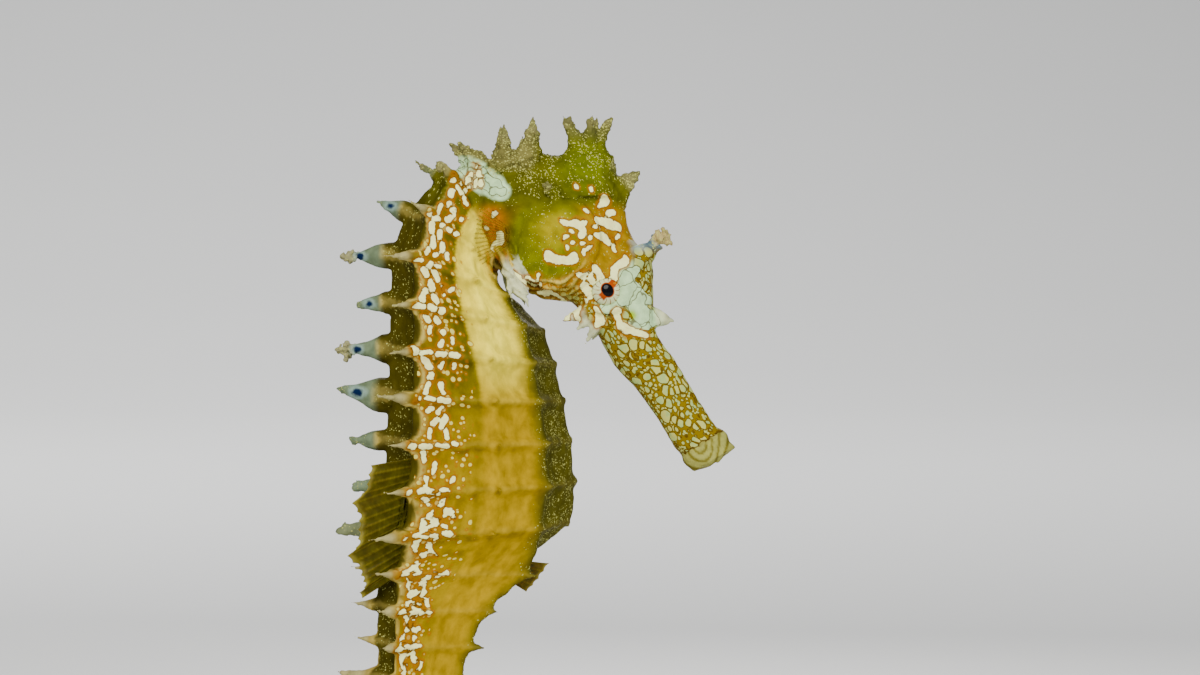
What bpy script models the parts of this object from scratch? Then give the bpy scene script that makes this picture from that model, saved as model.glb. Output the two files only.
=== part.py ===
"""Still, life-size model of a spiny, long-snouted seahorse on a plain display stand.

Sizes are in millimetres and become metres when a mesh is made. +Z is up and +X is where the belly
faces. The head is turned to the animal's right, which is -Y. The origin is the centre of the
stand's underside. The animal is built in a frame of its own, which the empty "seahorse" holds up.
"""

import math
import random
from typing import NamedTuple

import bmesh
import bpy
import numpy as np

MM = 0.001
GAP = 0.3                      # between the faces of two nodes that meet
GAP_EASE = 1.0                 # over how many rings a node's end makes room for the gap
SEED = 11

# The stand, and where it holds the animal's own frame
BASE_RADIUS = 28.0
BASE_HEIGHT = 6.5
BASE_STEP = 1.8                # how far the upper tier stands back
BASE_EDGE = 1.2
BASE_SIDES = 56
ROD_RADIUS = 0.95
ROD_SIDES = 16
COIL_STEP = 0.02               # of the search for the tail's lowest point, in rings
SHARP_FROM = math.radians(30.0)
FORWARD_SHIFT = -5.0
LIFT = -10.5


class Cut(NamedTuple):
    """A cut across the body: its points on the back and on the belly (forward, up)."""

    back: tuple
    belly: tuple
    half_width: float
    section: str


# Cut 0 is the back of the skull, cuts 1 to 11 are the trunk's rings, and the tail's rings follow
FIRST_CUT = -11
LAST_TRUNK_RING = 11
CUTS = (
    Cut((24.0, 80.4), (20.4, 78.3), 1.80, "snout"),     # lips
    Cut((22.5, 81.9), (19.6, 80.1), 1.42, "snout"),
    Cut((20.8, 84.6), (17.4, 82.5), 1.45, "snout"),
    Cut((18.9, 87.8), (15.3, 85.5), 1.60, "snout"),
    Cut((17.3, 90.1), (13.3, 87.7), 1.90, "snout"),
    Cut((16.7, 91.9), (11.7, 90.5), 2.35, "face"),      # root of the snout
    Cut((16.6, 94.6), (10.4, 92.3), 2.75, "face"),
    Cut((16.4, 97.0), (9.4, 93.3), 3.00, "face"),       # behind the eyes
    Cut((14.6, 99.6), (8.0, 93.6), 3.50, "gill"),
    Cut((13.9, 102.5), (6.9, 93.7), 3.90, "gill"),
    Cut((12.3, 105.0), (5.9, 94.0), 4.00, "gill"),
    Cut((8.9, 106.3), (5.0, 95.0), 3.90, "gill"),       # back of the skull
    Cut((5.6, 106.7), (4.0, 95.9), 3.80, "neck"),       # ring 1, the shoulder
    Cut((0.5, 105.9), (3.0, 96.3), 3.80, "neck"),
    Cut((-2.2, 104.5), (2.6, 95.6), 4.00, "neck"),
    Cut((-4.9, 101.4), (3.0, 94.5), 4.40, "trunk"),
    Cut((-6.3, 97.5), (4.9, 93.0), 4.70, "trunk"),
    Cut((-6.5, 93.3), (7.0, 90.7), 5.00, "trunk"),
    Cut((-6.6, 89.2), (8.1, 87.7), 5.20, "trunk"),
    Cut((-6.7, 85.1), (8.9, 84.4), 5.30, "trunk"),
    Cut((-6.9, 81.0), (9.6, 80.8), 5.35, "trunk"),
    Cut((-7.15, 76.9), (10.0, 77.0), 5.30, "trunk"),
    Cut((-7.6, 73.0), (9.3, 73.3), 5.00, "trunk"),      # ring 11, the last of the trunk
)

# Half of each section, from the middle of the back to the middle of the belly: (side, height), where
# 1 is the half width and the half depth. Rows 1, 4, 6 and 8 are the ridges.
BACK_RIDGE, SIDE_RIDGE, BELLY_RIDGE, KEEL = 1, 4, 6, 8
SECTIONS = {
    "snout": ((0, 1.00), (0.38, 0.93), (0.71, 0.71), (0.93, 0.38), (1.00, 0), (0.93, -0.38),
              (0.71, -0.71), (0.38, -0.93), (0, -1.00)),
    "face": ((0, 0.96), (0.46, 1.00), (0.80, 0.74), (0.96, 0.40), (1.00, 0.05), (0.95, -0.30),
             (0.80, -0.60), (0.46, -0.88), (0, -1.00)),
    "gill": ((0, 1.00), (0.34, 0.93), (0.58, 0.68), (0.82, 0.36), (1.00, 0.02), (1.02, -0.30),
             (0.86, -0.60), (0.48, -0.86), (0, -1.00)),
    "neck": ((0, 0.92), (0.54, 1.00), (0.76, 0.68), (0.90, 0.40), (1.00, 0.12), (0.90, -0.22),
             (0.70, -0.54), (0.38, -0.84), (0, -1.00)),
    "trunk": ((0, 0.88), (0.70, 1.00), (0.82, 0.66), (0.90, 0.38), (1.00, 0.08), (0.90, -0.24),
              (0.76, -0.54), (0.36, -0.82), (0, -1.00)),
    "tail": ((0, 0.78), (0.84, 1.00), (0.86, 0.55), (0.84, 0.25), (0.84, 0.00), (0.82, -0.35),
             (0.80, -0.95), (0.42, -0.84), (0, -0.80)),
}
PLATE_SAG, RIDGE_SAG, BELLY_SAG, KEEL_SAG = 0.12, 0.055, 0.05, 0.02
ROW_SAGS = (PLATE_SAG, RIDGE_SAG, PLATE_SAG, PLATE_SAG, RIDGE_SAG, PLATE_SAG, RIDGE_SAG, BELLY_SAG,
            KEEL_SAG)          # how much each row draws in between two rings
RING_BREADTH = 0.17            # of a ring's swelling, in rings

# The neck turns the head about an upright axis, all the way from ring 4 to the skull
HEAD_TURN = math.radians(-27.0)
TURN_AXIS = np.array((2.9, 0.0, 0.0))
TURN_FIRST_RING = 4.0
MIRROR = {1: np.array((1.0, 1.0, 1.0)), -1: np.array((1.0, -1.0, 1.0))}      # left, right

# The tail's rings run down from the trunk and then curl forwards, ever tighter
TAIL_RINGS = 36
TAIL_START = (-4.15, 69.4)
TAIL_HEADING = math.radians(-93.0)
TAIL_CURL = math.radians(468.0)
TAIL_CURL_POWER = 3.0
TAIL_STEPS = (3.25, 1.05)      # from ring to ring, at the root and at the tip
TAIL_DEPTHS = (7.6, 1.25)
TAIL_WIDTHS = (6.8, 1.10)
TAIL_TAPER = 1.12
VENT_BULGE = (5.2, 2.0, 0.6)   # how far the belly still stands out on the tail's first rings


class Stretch(NamedTuple):
    """A node's stretch of the body, its steps for each ring and the rows of its section."""

    first: float
    last: float
    steps: int
    rows: tuple


ALL_ROWS, RIDGE_ROWS = tuple(range(9)), (0, BACK_RIDGE, SIDE_RIDGE, BELLY_RIDGE, KEEL)
BODY = {
    "neck": Stretch(0.5, 3.5, 4, ALL_ROWS),
    "trunk_upper": Stretch(3.5, 7.5, 4, ALL_ROWS),
    "trunk_lower": Stretch(7.5, 11.5, 4, ALL_ROWS),
    "tail_1": Stretch(11.5, 17.5, 4, RIDGE_ROWS),
    "tail_2": Stretch(17.5, 23.5, 4, RIDGE_ROWS),
    "tail_3": Stretch(23.5, 29.5, 2, RIDGE_ROWS),
    "tail_4": Stretch(29.5, 35.5, 2, RIDGE_ROWS),
    "tail_5": Stretch(35.5, 41.5, 2, RIDGE_ROWS),
    "tail_6": Stretch(41.5, 47.0, 2, RIDGE_ROWS),
}
SNOUT_STRETCH = Stretch(-11.0, -7.0, 3, ALL_ROWS)
HEAD_STRETCH = Stretch(-7.0, 0.5, 3, ALL_ROWS)

# Lengths of the trunk's spines, from ring 1, and how far those of the bent neck lean to the tail
RIDGE_SPINES = {
    BACK_RIDGE: (3.1, 2.7, 2.6, 2.9, 3.6, 2.9, 3.1, 4.1, 2.9, 2.7, 3.4),
    SIDE_RIDGE: (0.0, 0.0, 0.8, 1.2, 1.7, 1.3, 1.4, 1.8, 1.3, 1.3, 1.7),
    BELLY_RIDGE: (0.0, 0.0, 0.0, 0.0, 0.9, 1.0, 1.1, 1.3, 1.0, 1.0, 1.2),
    KEEL: (0.0, 0.0, 0.0, 0.0, 0.0, 0.3, 0.3, 0.35, 0.3, 0.3, 0.3),
}
BACK_LEANS = (0.0, 0.65, 0.42, 0.37, 0.38, 0.30, 0.16, 0.0, 0.0, 0.0, 0.0)
NAPE_SPINE = (1.45, 3.0)       # a pair between rings 1 and 2: place, length
TAIL_SPINES = {BACK_RIDGE: (2.9, 0.45), BELLY_RIDGE: (1.3, 0.30)}      # at the root and at the tip
LONG_EVERY, LONG_FIRST = 4, 3
LONG, SHORT = 1.35, 0.82       # each fourth ring's spines, and the rest, as shares of the length
SPINE_SLENDER = 0.26           # root radius for each millimetre of length
SPINE_RADII = (0.27, 1.05)     # thinnest and thickest root
SPINE_SINK = (0.9, 1.6)        # at most, in millimetres and in root radii
FOOT_SPREAD = 1.1              # of the sunken foot, in root radii
SPINE_SIDES = 5
SPINE_WAIST = (0.45, 0.45)     # how far along it, to what share of its root, a spine has thinned
SPINE_BEND = -0.05
LENGTH_JITTER, LEAN_JITTER = 0.10, 0.05
PLAIN_FROM_RING = 23           # from here to the tip the spines are four-sided, with no waist
TUFTED_RINGS = (5, 7)          # the rings whose back spines carry a growth at their tips
TUFT_RADIUS = 0.55


class Thorn(NamedTuple):
    """A single spine: root and direction (forward, side, up), length and root radius."""

    root: tuple
    way: tuple
    length: float
    radius: float


# The head's own forms, as if it weren't turned
THORN_SIDES, THORN_SINK = 6, 1.1
MIDDLE_THORNS = (
    Thorn((12.6, 0.0, 103.7), (0.90, 0.0, 0.42), 3.0, 1.3),       # brow
    Thorn((16.2, 0.0, 91.5), (1.0, 0.0, 0.20), 2.2, 0.95),        # nose
)
EYE_THORN = Thorn((15.2, 1.6, 97.1), (0.74, 0.30, 0.62), 3.3, 0.8)
PAIRED_THORNS = (
    EYE_THORN,
    Thorn((10.9, 2.0, 92.6), (-0.86, 0.45, -0.35), 2.6, 0.62),    # cheek
    Thorn((11.9, 1.7, 91.4), (-0.45, 0.40, -0.72), 2.1, 0.5),     # jaw
    Thorn((8.0, 3.2, 103.2), (-0.35, 0.88, 0.40), 1.8, 0.6),      # temple
)
EYE_TUFT_RADIUS = 0.8          # the growth that clings to the eye spines
SHOULDER_THORNS = (            # the flattened, forked plate below each gill opening
    Thorn((3.5, 3.0, 97.6), (0.35, 0.30, -0.86), 5.7, 1.1),
    Thorn((3.4, 3.1, 97.2), (0.02, 0.50, -0.80), 3.6, 0.75),
)
SHOULDER_RING, SHOULDER_FLAT = 1.5, 0.6

EYE_CENTRE = (12.75, 2.05, 94.45)
EYE_RADIUS = 1.45
EYE_SEGMENTS, EYE_RINGS = 14, 10
ORBIT_RINGS = ((0.6, 2.2), (2.45, 2.07), (2.95, 1.77))         # (distance to the side, radius)
ORBIT_SIDES = 12
NOSTRIL = (15.3, 1.75, 92.4)
NOSTRIL_RADIUS = 0.4
GILL_CENTRE = (8.6, 3.35, 98.6)
GILL_RADII = (3.6, 1.25, 4.2)
GILL_TILT = math.radians(28.0)
GILL_SEGMENTS, GILL_RINGS = 12, 8
MOUTH = (22.8, 0.0, 79.9)      # on the slit between the lips, where it meets the snout's end
MOUTH_SLIT = (1.1, 4.0, 0.15)  # half depth, half breadth, half height

# The block that trims the head's forms: half depth in depths of the cut, half breadth, length
TRIM_DEPTH, TRIM_HALF_BREADTH, TRIM_LENGTH = 0.8, 7.5, 6.0

CORONET_FOOT = (10.7, 0.0, 104.2)
CORONET_SEAM = 106.4
CORONET_RINGS = ((2.45, 0.0), (1.85, 0.7), (1.5, 1.5), (1.6, 2.1), (1.0, 2.4))  # (radius, height)
CORONET_SIDES = 10
CORONET_SPINES = 5
CORONET_SPINE = (1.8, 0.6)     # length, root radius
CORONET_INSET, CORONET_SINK = 0.45, 0.5   # of a spine's root from the rim, inwards and down
CORONET_SPLAY = math.radians(32.0)
CROWN_RINGS = ((3.3, -1.4), (2.6, 1.3), (2.6, CORONET_SEAM - CORONET_FOOT[2]))  # on the head
CROWN_SIDES = 12

# Fins: rays run from the root to the edge, with a web between each two
RAY_HALF, WEB_HALF = 0.36, 0.25           # half thickness
WEB_REACH = 0.95               # how far the web reaches, where 1 is the ray's length
FIN_ROWS = 3
DORSAL_RINGS, DORSAL_RAYS = (9.35, 12.1), 17
DORSAL_HEIGHT = 4.9
DORSAL_LEAN = (0.15, 0.60)     # of the first and the last ray, towards the tail
ANAL_RINGS, ANAL_RAYS = (11.75, 12.15), 4
ANAL_HEIGHT = 2.4
ANAL_LEAN = (0.10, 0.50)
FIN_CLEARANCE = GAP + 0.1      # between a fin and the skin
DORSAL_SWELL, ANAL_SWELL = 0.38, 0.0      # how much longer the middle rays are
FIN_ENDS = (0.12, 0.88)        # the first and the last ray's places on half a wave
PECTORAL_ROOT, PECTORAL_HALF_ROOT = (3.1, 4.35, 99.3), 1.1
PECTORAL_RAYS, PECTORAL_LENGTH = 12, 3.4
PECTORAL_SPREAD, PECTORAL_OUT = math.radians(56.0), math.radians(24.0)
PECTORAL_SHORTENING = 0.5      # of the rays towards both ends of the fan

COLOURS = {                    # colour, roughness, metallic
    "golden_skin": ((0.62, 0.42, 0.03), 0.55, 0.0),
    "spotted_snout": ((0.72, 0.62, 0.30), 0.5, 0.0),
    "olive_crown": ((0.33, 0.34, 0.04), 0.7, 0.0),
    "fin_web": ((0.72, 0.66, 0.30), 0.45, 0.0),
    "eye": ((0.75, 0.36, 0.06), 0.12, 0.0),
    "stand_wood": ((0.06, 0.045, 0.035), 0.35, 0.0),
    "stand_steel": ((0.62, 0.62, 0.63), 0.25, 1.0),
}

chance = random.Random(SEED)


def clear_scene():
    for obj in list(bpy.data.objects):
        bpy.data.objects.remove(obj)


def material(name):
    made = bpy.data.materials.get(name)
    if made is None:
        colour, roughness, metallic = COLOURS[name]
        made = bpy.data.materials.new(name)
        made.use_nodes = True
        made.diffuse_color = (*colour, 1.0)
        shader = made.node_tree.nodes["Principled BSDF"]
        shader.inputs["Base Color"].default_value = (*colour, 1.0)
        shader.inputs["Roughness"].default_value = roughness
        shader.inputs["Metallic"].default_value = metallic
    return made


def mesh_of(name, points, faces):
    """A closed mesh from points in millimetres, with its faces turned outwards."""
    mesh = bpy.data.meshes.new(name)
    mesh.from_pydata([tuple(point) for point in np.asarray(points, float) * MM], [], faces)
    made = bmesh.new()
    made.from_mesh(mesh)
    bmesh.ops.recalc_face_normals(made, faces=made.faces)
    if made.calc_volume(signed=True) < 0:
        bmesh.ops.reverse_faces(made, faces=made.faces)
    made.to_mesh(mesh)
    made.free()
    return mesh


def node_of(name, points, faces, finish, at=(0.0, 0.0, 0.0)):
    """A node of its own, with its material, placed at a point in millimetres."""
    made = bpy.data.objects.new(name, mesh_of(name, points, faces))
    made.location = [value * MM for value in at]
    made.data.materials.append(material(finish))
    bpy.context.scene.collection.objects.link(made)
    return made


def tail_cuts():
    """The tail's cuts, set off on both sides of a line that curls ever tighter."""
    steps = np.linspace(*TAIL_STEPS, TAIL_RINGS - 1)
    length = steps.sum()
    place = np.array(TAIL_START)
    run = 0.0
    cuts = []
    for ring in range(TAIL_RINGS):
        left = (1.0 - run / length) ** TAIL_TAPER
        heading = TAIL_HEADING + TAIL_CURL * (run / length) ** TAIL_CURL_POWER
        depth = TAIL_DEPTHS[1] + (TAIL_DEPTHS[0] - TAIL_DEPTHS[1]) * left
        width = TAIL_WIDTHS[1] + (TAIL_WIDTHS[0] - TAIL_WIDTHS[1]) * left
        forward = np.array((-math.sin(heading), math.cos(heading)))
        bulge = VENT_BULGE[ring] if ring < len(VENT_BULGE) else 0.0
        back, belly = place - forward * depth / 2, place + forward * (depth / 2 + bulge)
        cuts.append(Cut(tuple(back), tuple(belly), width / 2, "tail"))
        if ring < TAIL_RINGS - 1:
            half_way = (run + steps[ring] / 2) / length
            ahead = TAIL_HEADING + TAIL_CURL * half_way ** TAIL_CURL_POWER
            place = place + steps[ring] * np.array((math.cos(ahead), math.sin(ahead)))
            run += steps[ring]
    return cuts


def cut_numbers():
    """Every cut as one row: back, belly, half width, and the nine points of its section."""
    cuts = (*CUTS, *tail_cuts())
    return np.array([[*c.back, *c.belly, c.half_width, *np.ravel(SECTIONS[c.section])] for c in cuts])


NUMBERS = cut_numbers()
LAST_CUT = FIRST_CUT + len(NUMBERS) - 1


def numbers_at(t):
    """The cut at t, on a smooth curve through the cuts on either side."""
    place = min(max(t - FIRST_CUT, 0.0), len(NUMBERS) - 1.0)
    first = min(int(place), len(NUMBERS) - 2)
    f = place - first
    a, b, c, d = (NUMBERS[min(max(first + k, 0), len(NUMBERS) - 1)] for k in (-1, 0, 1, 2))
    return b + 0.5 * f * (c - a + f * (2 * a - 5 * b + 4 * c - d + f * (3 * (b - c) + d - a)))


def turn_at(t):
    share = min(max((TURN_FIRST_RING - t) / TURN_FIRST_RING, 0.0), 1.0)
    return HEAD_TURN * share * share * (3 - 2 * share)


def rotated(way, turn):
    x, y, z = way
    c, s = math.cos(turn), math.sin(turn)
    return np.array((x * c - y * s, x * s + y * c, z))


def turned(point, turn):
    """A point (forward, side, up), with the neck's turn. Side is positive to the animal's left."""
    return TURN_AXIS + rotated(np.asarray(point, float) - TURN_AXIS, turn)


def draw_in(t, row):
    """The share of its size that a section has on this row: 1 on a ring and all along the head."""
    off_ring = 1.0 - math.exp(-(((t - round(t)) / RING_BREADTH) ** 2))
    begun = min(max(t - 0.5, 0.0), 1.0)
    return 1.0 - ROW_SAGS[row] * begun * off_ring


def skin_point(t, row, side):
    """The point of the skin at cut t on a row of the section, on the left (1) or the right (-1)."""
    numbers = numbers_at(t)
    back, belly, half_width = numbers[0:2], numbers[2:4], numbers[4]
    across, height = numbers[5 + 2 * row:7 + 2 * row] * draw_in(t, row)
    x, z = (back + belly) / 2 + (back - belly) / 2 * height
    return turned((x, side * across * half_width, z), turn_at(t))


def outward(t, row, side):
    """Unit direction away from the body's middle line, in the plane of the cut."""
    numbers = numbers_at(t)
    x, z = (numbers[0:2] + numbers[2:4]) / 2
    away = skin_point(t, row, side) - turned((x, 0.0, z), turn_at(t))
    return away / np.linalg.norm(away)


def along(t):
    """Unit direction towards the tail, at right angles to the plane of the cut."""
    numbers = numbers_at(t)
    x, z = numbers[2:4] - numbers[0:2]
    way = rotated((z, 0.0, -x), turn_at(t))
    return way / np.linalg.norm(way)


def loop_at(t, rows, shift):
    """The section's points at cut t, once round it, moved along the body by shift."""
    places = [(row, 1) for row in rows] + [(row, -1) for row in reversed(rows[1:-1])]
    return np.array([skin_point(t, row, side) for row, side in places]) + along(t) * shift


def tube(loops, tip=None):
    """Points and faces of a closed tube through equal loops, with a flat end or a pointed one."""
    count = len(loops[0])
    faces = [tuple(range(count))]
    for n in range(len(loops) - 1):
        for k in range(count):
            a, b = n * count + k, n * count + (k + 1) % count
            faces.append((a, b, b + count, a + count))
    last = (len(loops) - 1) * count
    if tip is None:
        faces.append(tuple(range(last, last + count)))
        return np.concatenate(loops), faces
    faces += [(last + k, last + (k + 1) % count, last + count) for k in range(count)]
    return np.concatenate([*loops, [tip]]), faces


def stretch_of_body(stretch):
    """A stretch of the body between two flat ends, each half a gap short of its cut."""
    first, last, steps, rows = stretch
    loops = []
    for t in np.linspace(first, last, round((last - first) * steps) + 1):
        ahead = max(0.0, 1.0 - (t - first) / GAP_EASE) if first > FIRST_CUT else 0.0
        behind = max(0.0, 1.0 - (last - t) / GAP_EASE) if last < LAST_CUT else 0.0
        loops.append(loop_at(t, rows, GAP / 2 * (ahead - behind)))
    return tube(loops)


def two_across(axis):
    """Unit axis, and two unit directions at right angles to it and to each other."""
    axis = np.asarray(axis, float) / np.linalg.norm(axis)
    helper = (0.0, 0.0, 1.0) if abs(axis[2]) < 0.9 else (1.0, 0.0, 0.0)
    u = np.cross(axis, helper)
    u = u / np.linalg.norm(u)
    return axis, u, np.cross(axis, u)


def circle(centre, u, v, radius, sides, flat=1.0):
    angles = [2 * math.pi * k / sides for k in range(sides)]
    return np.array([centre + radius * (math.cos(a) * u + flat * math.sin(a) * v) for a in angles])


def spine(thorn, sink, sides, bend=(0.0, 0.0, 0.0), flat=1.0, waist=True):
    """A pointed spine with its foot sunk into what it grows from. flat narrows it one way."""
    axis, u, v = two_across(thorn.way)
    root, bend = np.asarray(thorn.root, float), np.asarray(bend, float)
    loops = [circle(root - axis * sink, u, v, thorn.radius * FOOT_SPREAD, sides, flat)]
    if waist:
        reach, share = SPINE_WAIST
        middle = root + axis * reach * thorn.length + bend * reach ** 2
        loops.append(circle(root, u, v, thorn.radius, sides, flat))
        loops.append(circle(middle, u, v, thorn.radius * share, sides, flat))
    return tube(loops, root + axis * thorn.length + bend)


def ball(centre, radii, segments, rings, tilt=0.0):
    """A closed ellipsoid with its own axes (forward, side, up), tilted in the body's plane."""
    made = bmesh.new()
    bmesh.ops.create_uvsphere(made, u_segments=segments, v_segments=rings, radius=1.0)
    x, y, z = np.array([vert.co for vert in made.verts]).T * np.array(radii)[:, None]
    faces = [tuple(vert.index for vert in face.verts) for face in made.faces]
    made.free()
    c, s = math.cos(tilt), math.sin(tilt)
    return np.array((x * c + z * s, y, z * c - x * s)).T + centre, faces


def bead(centre, radius):
    """A small closed ball of twenty faces."""
    made = bmesh.new()
    bmesh.ops.create_icosphere(made, subdivisions=1, radius=radius)
    points = np.array([vert.co for vert in made.verts]) + centre
    faces = [tuple(vert.index for vert in face.verts) for face in made.faces]
    made.free()
    return points, faces


def upright_turning(centre, rings, sides):
    """A closed solid turned about an upright axis, through rings of (radius, height)."""
    u, v = np.array((1.0, 0.0, 0.0)), np.array((0.0, 1.0, 0.0))
    middles = [(np.array(centre) + (0.0, 0.0, height), radius) for radius, height in rings]
    return tube([circle(middle, u, v, radius, sides) for middle, radius in middles])


def block(near, far):
    """A closed block between two four-cornered faces."""
    return tube([np.array(near), np.array(far)])


def on_head(form):
    """Points and faces of a form, turned as the head is."""
    points, faces = form
    return np.array([turned(point, HEAD_TURN) for point in points]), faces


def keep_largest_surface(obj):
    """Deletes all but the largest closed surface of a mesh."""
    made = bmesh.new()
    made.from_mesh(obj.data)
    unseen, surfaces = set(made.verts), []
    while unseen:
        stack = [unseen.pop()]
        surface = set(stack)
        while stack:
            for edge in stack.pop().link_edges:
                fresh = set(edge.verts) - surface
                surface |= fresh
                stack.extend(fresh)
        unseen -= surface
        surfaces.append(surface)
    surfaces.sort(key=lambda surface: np.ptp([vert.co for vert in surface], axis=0).sum())
    scraps = [vert for surface in surfaces[:-1] for vert in surface]
    bmesh.ops.delete(made, geom=scraps, context="VERTS")
    made.to_mesh(obj.data)
    made.free()


def combine(obj, operation, forms):
    """Joins forms to a node, or cuts them from it, in one applied Boolean."""
    group = bpy.data.collections.new(obj.name + "_forms")
    for points, faces in forms:
        group.objects.link(bpy.data.objects.new("form", mesh_of("form", points, faces)))
    modifier = obj.modifiers.new("combine", "BOOLEAN")
    modifier.operand_type = "COLLECTION"
    modifier.operation = operation
    modifier.solver = "EXACT"
    modifier.collection = group
    bpy.context.view_layer.update()
    graph = bpy.context.evaluated_depsgraph_get()
    combined = bpy.data.meshes.new_from_object(obj.evaluated_get(graph))
    obj.modifiers.clear()
    obj.data = combined
    for form in list(group.objects):
        bpy.data.objects.remove(form)
    bpy.data.collections.remove(group)
    keep_largest_surface(obj)


def spine_length(ring, row):
    """How long the spine of a ring is on a ridge, and 0 where it has none."""
    if ring <= LAST_TRUNK_RING:
        return RIDGE_SPINES[row][ring - 1]
    if row not in TAIL_SPINES:
        return 0.0
    share = (ring - LAST_TRUNK_RING) / TAIL_RINGS
    first, last = TAIL_SPINES[row]
    return (last + (first - last) * (1.0 - share)) * (LONG if ring % LONG_EVERY == LONG_FIRST else SHORT)


def ridge_spine(t, row, side, length):
    """One spine on a ridge, and the growth at its tip where it carries one."""
    length *= 1.0 + LENGTH_JITTER * (2.0 * chance.random() - 1.0)
    lean = LEAN_JITTER * (2.0 * chance.random() - 1.0)
    if row == BACK_RIDGE and t in range(1, LAST_TRUNK_RING + 1):
        lean += BACK_LEANS[t - 1]
    way = outward(t, row, side) + lean * along(t)
    way = way / np.linalg.norm(way)
    radius = min(max(length * SPINE_SLENDER, SPINE_RADII[0]), SPINE_RADII[1])
    root = skin_point(t, row, side)
    fine = t < PLAIN_FROM_RING
    bend = along(t) * length * (SPINE_BEND if fine else 0.0)
    sink = min(SPINE_SINK[0], SPINE_SINK[1] * radius)
    made = [spine(Thorn(root, way, length, radius), sink, SPINE_SIDES if fine else 4, bend, waist=fine)]
    if row == BACK_RIDGE and t in TUFTED_RINGS:
        made.append(bead(root + way * length + bend, TUFT_RADIUS))
    return made


def ring_spines(stretch):
    """The spines on the ridges of every ring of a stretch."""
    made = []
    for ring in range(math.ceil(stretch.first), min(math.floor(stretch.last), LAST_CUT - 1) + 1):
        for row in (BACK_RIDGE, SIDE_RIDGE, BELLY_RIDGE, KEEL):
            length = spine_length(ring, row)
            if length > 0:
                for side in ((1,) if row == KEEL else (1, -1)):
                    made += ridge_spine(ring, row, side, length)
    return made


def turned_thorn(thorn, side, turn):
    """A thorn on the left (1) or the right (-1), with the neck's turn."""
    root, way = MIRROR[side] * thorn.root, MIRROR[side] * thorn.way
    return thorn._replace(root=turned(root, turn), way=rotated(way, turn))


def eye_centre(side):
    return turned(MIRROR[side] * EYE_CENTRE, HEAD_TURN)


def orbit(side):
    """The rim round an eye, which stands out from the side of the face."""
    u, v = np.array((1.0, 0.0, 0.0)), np.array((0.0, 0.0, 1.0))
    loops = []
    for out, radius in ORBIT_RINGS:
        loops.append(circle(np.array((EYE_CENTRE[0], side * out, EYE_CENTRE[2])), u, v, radius, ORBIT_SIDES))
    return on_head(tube(loops))


def eye_tuft(side):
    thorn = turned_thorn(EYE_THORN, side, HEAD_TURN)
    way = thorn.way / np.linalg.norm(thorn.way)
    return bead(thorn.root + way * thorn.length, EYE_TUFT_RADIUS)


def gill_cover(side):
    centre = MIRROR[side] * GILL_CENTRE
    return on_head(ball(centre, GILL_RADII, GILL_SEGMENTS, GILL_RINGS, GILL_TILT))


def beyond_head():
    """A block where the neck begins, which keeps the head's forms half a gap short of that cut."""
    numbers = numbers_at(HEAD_STRETCH.last)
    middle, half = (numbers[0:2] + numbers[2:4]) / 2, (numbers[0:2] - numbers[2:4]) * TRIM_DEPTH
    corners = []
    for height, side in ((1, 1), (1, -1), (-1, -1), (-1, 1)):
        x, z = middle + half * height
        corners.append(turned((x, side * TRIM_HALF_BREADTH, z), turn_at(HEAD_STRETCH.last)))
    way = along(HEAD_STRETCH.last)
    return block(corners - way * GAP / 2, corners + way * TRIM_LENGTH)


def build_head():
    head = node_of("head", *stretch_of_body(HEAD_STRETCH), "golden_skin")
    forms = [on_head(upright_turning(CORONET_FOOT, CROWN_RINGS, CROWN_SIDES))]
    hollows = [beyond_head()]
    for thorn in MIDDLE_THORNS:
        forms.append(spine(turned_thorn(thorn, 1, HEAD_TURN), THORN_SINK, THORN_SIDES))
    for side in (1, -1):
        forms += [gill_cover(side), orbit(side), eye_tuft(side)]
        for thorn in PAIRED_THORNS:
            forms.append(spine(turned_thorn(thorn, side, HEAD_TURN), THORN_SINK, THORN_SIDES))
        socket = (EYE_RADIUS + GAP,) * 3
        hollows.append(ball(eye_centre(side), socket, EYE_SEGMENTS, EYE_RINGS))
        hollows.append(bead(turned(MIRROR[side] * NOSTRIL, HEAD_TURN), NOSTRIL_RADIUS))
    combine(head, "UNION", forms)
    combine(head, "DIFFERENCE", hollows)
    return head


def build_snout():
    """The tubular snout, with the slit of the mouth between its flared lips."""
    snout = node_of("snout", *stretch_of_body(SNOUT_STRETCH), "spotted_snout")
    ahead = -along(FIRST_CUT)
    across = rotated((0.0, 1.0, 0.0), HEAD_TURN)
    up = np.cross(ahead, across)
    depth, breadth, height = MOUTH_SLIT
    corners = [turned(MOUTH, HEAD_TURN) + across * breadth * side + up * height * above
               for side, above in ((1, 1), (1, -1), (-1, -1), (-1, 1))]
    combine(snout, "DIFFERENCE", [block(corners - ahead * depth, corners + ahead * depth)])
    return snout


def build_coronet():
    """A short column with five splayed spines round its top."""
    foot = np.array((CORONET_FOOT[0], CORONET_FOOT[1], CORONET_SEAM + GAP))
    column = on_head(upright_turning(foot, CORONET_RINGS, CORONET_SIDES))
    coronet = node_of("coronet", *column, "olive_crown")
    length, radius = CORONET_SPINE
    rim_radius, rim_height = CORONET_RINGS[-2]
    forms = []
    for n in range(CORONET_SPINES):
        angle = 2 * math.pi * n / CORONET_SPINES
        out = np.array((math.cos(angle), math.sin(angle), 0.0))
        root = foot + out * (rim_radius - CORONET_INSET) + (0.0, 0.0, rim_height)
        way = out * math.sin(CORONET_SPLAY) + (0.0, 0.0, math.cos(CORONET_SPLAY))
        forms.append(on_head(spine(Thorn(root, way, length, radius), CORONET_SINK, SPINE_SIDES)))
    combine(coronet, "UNION", forms)
    return coronet


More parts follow.
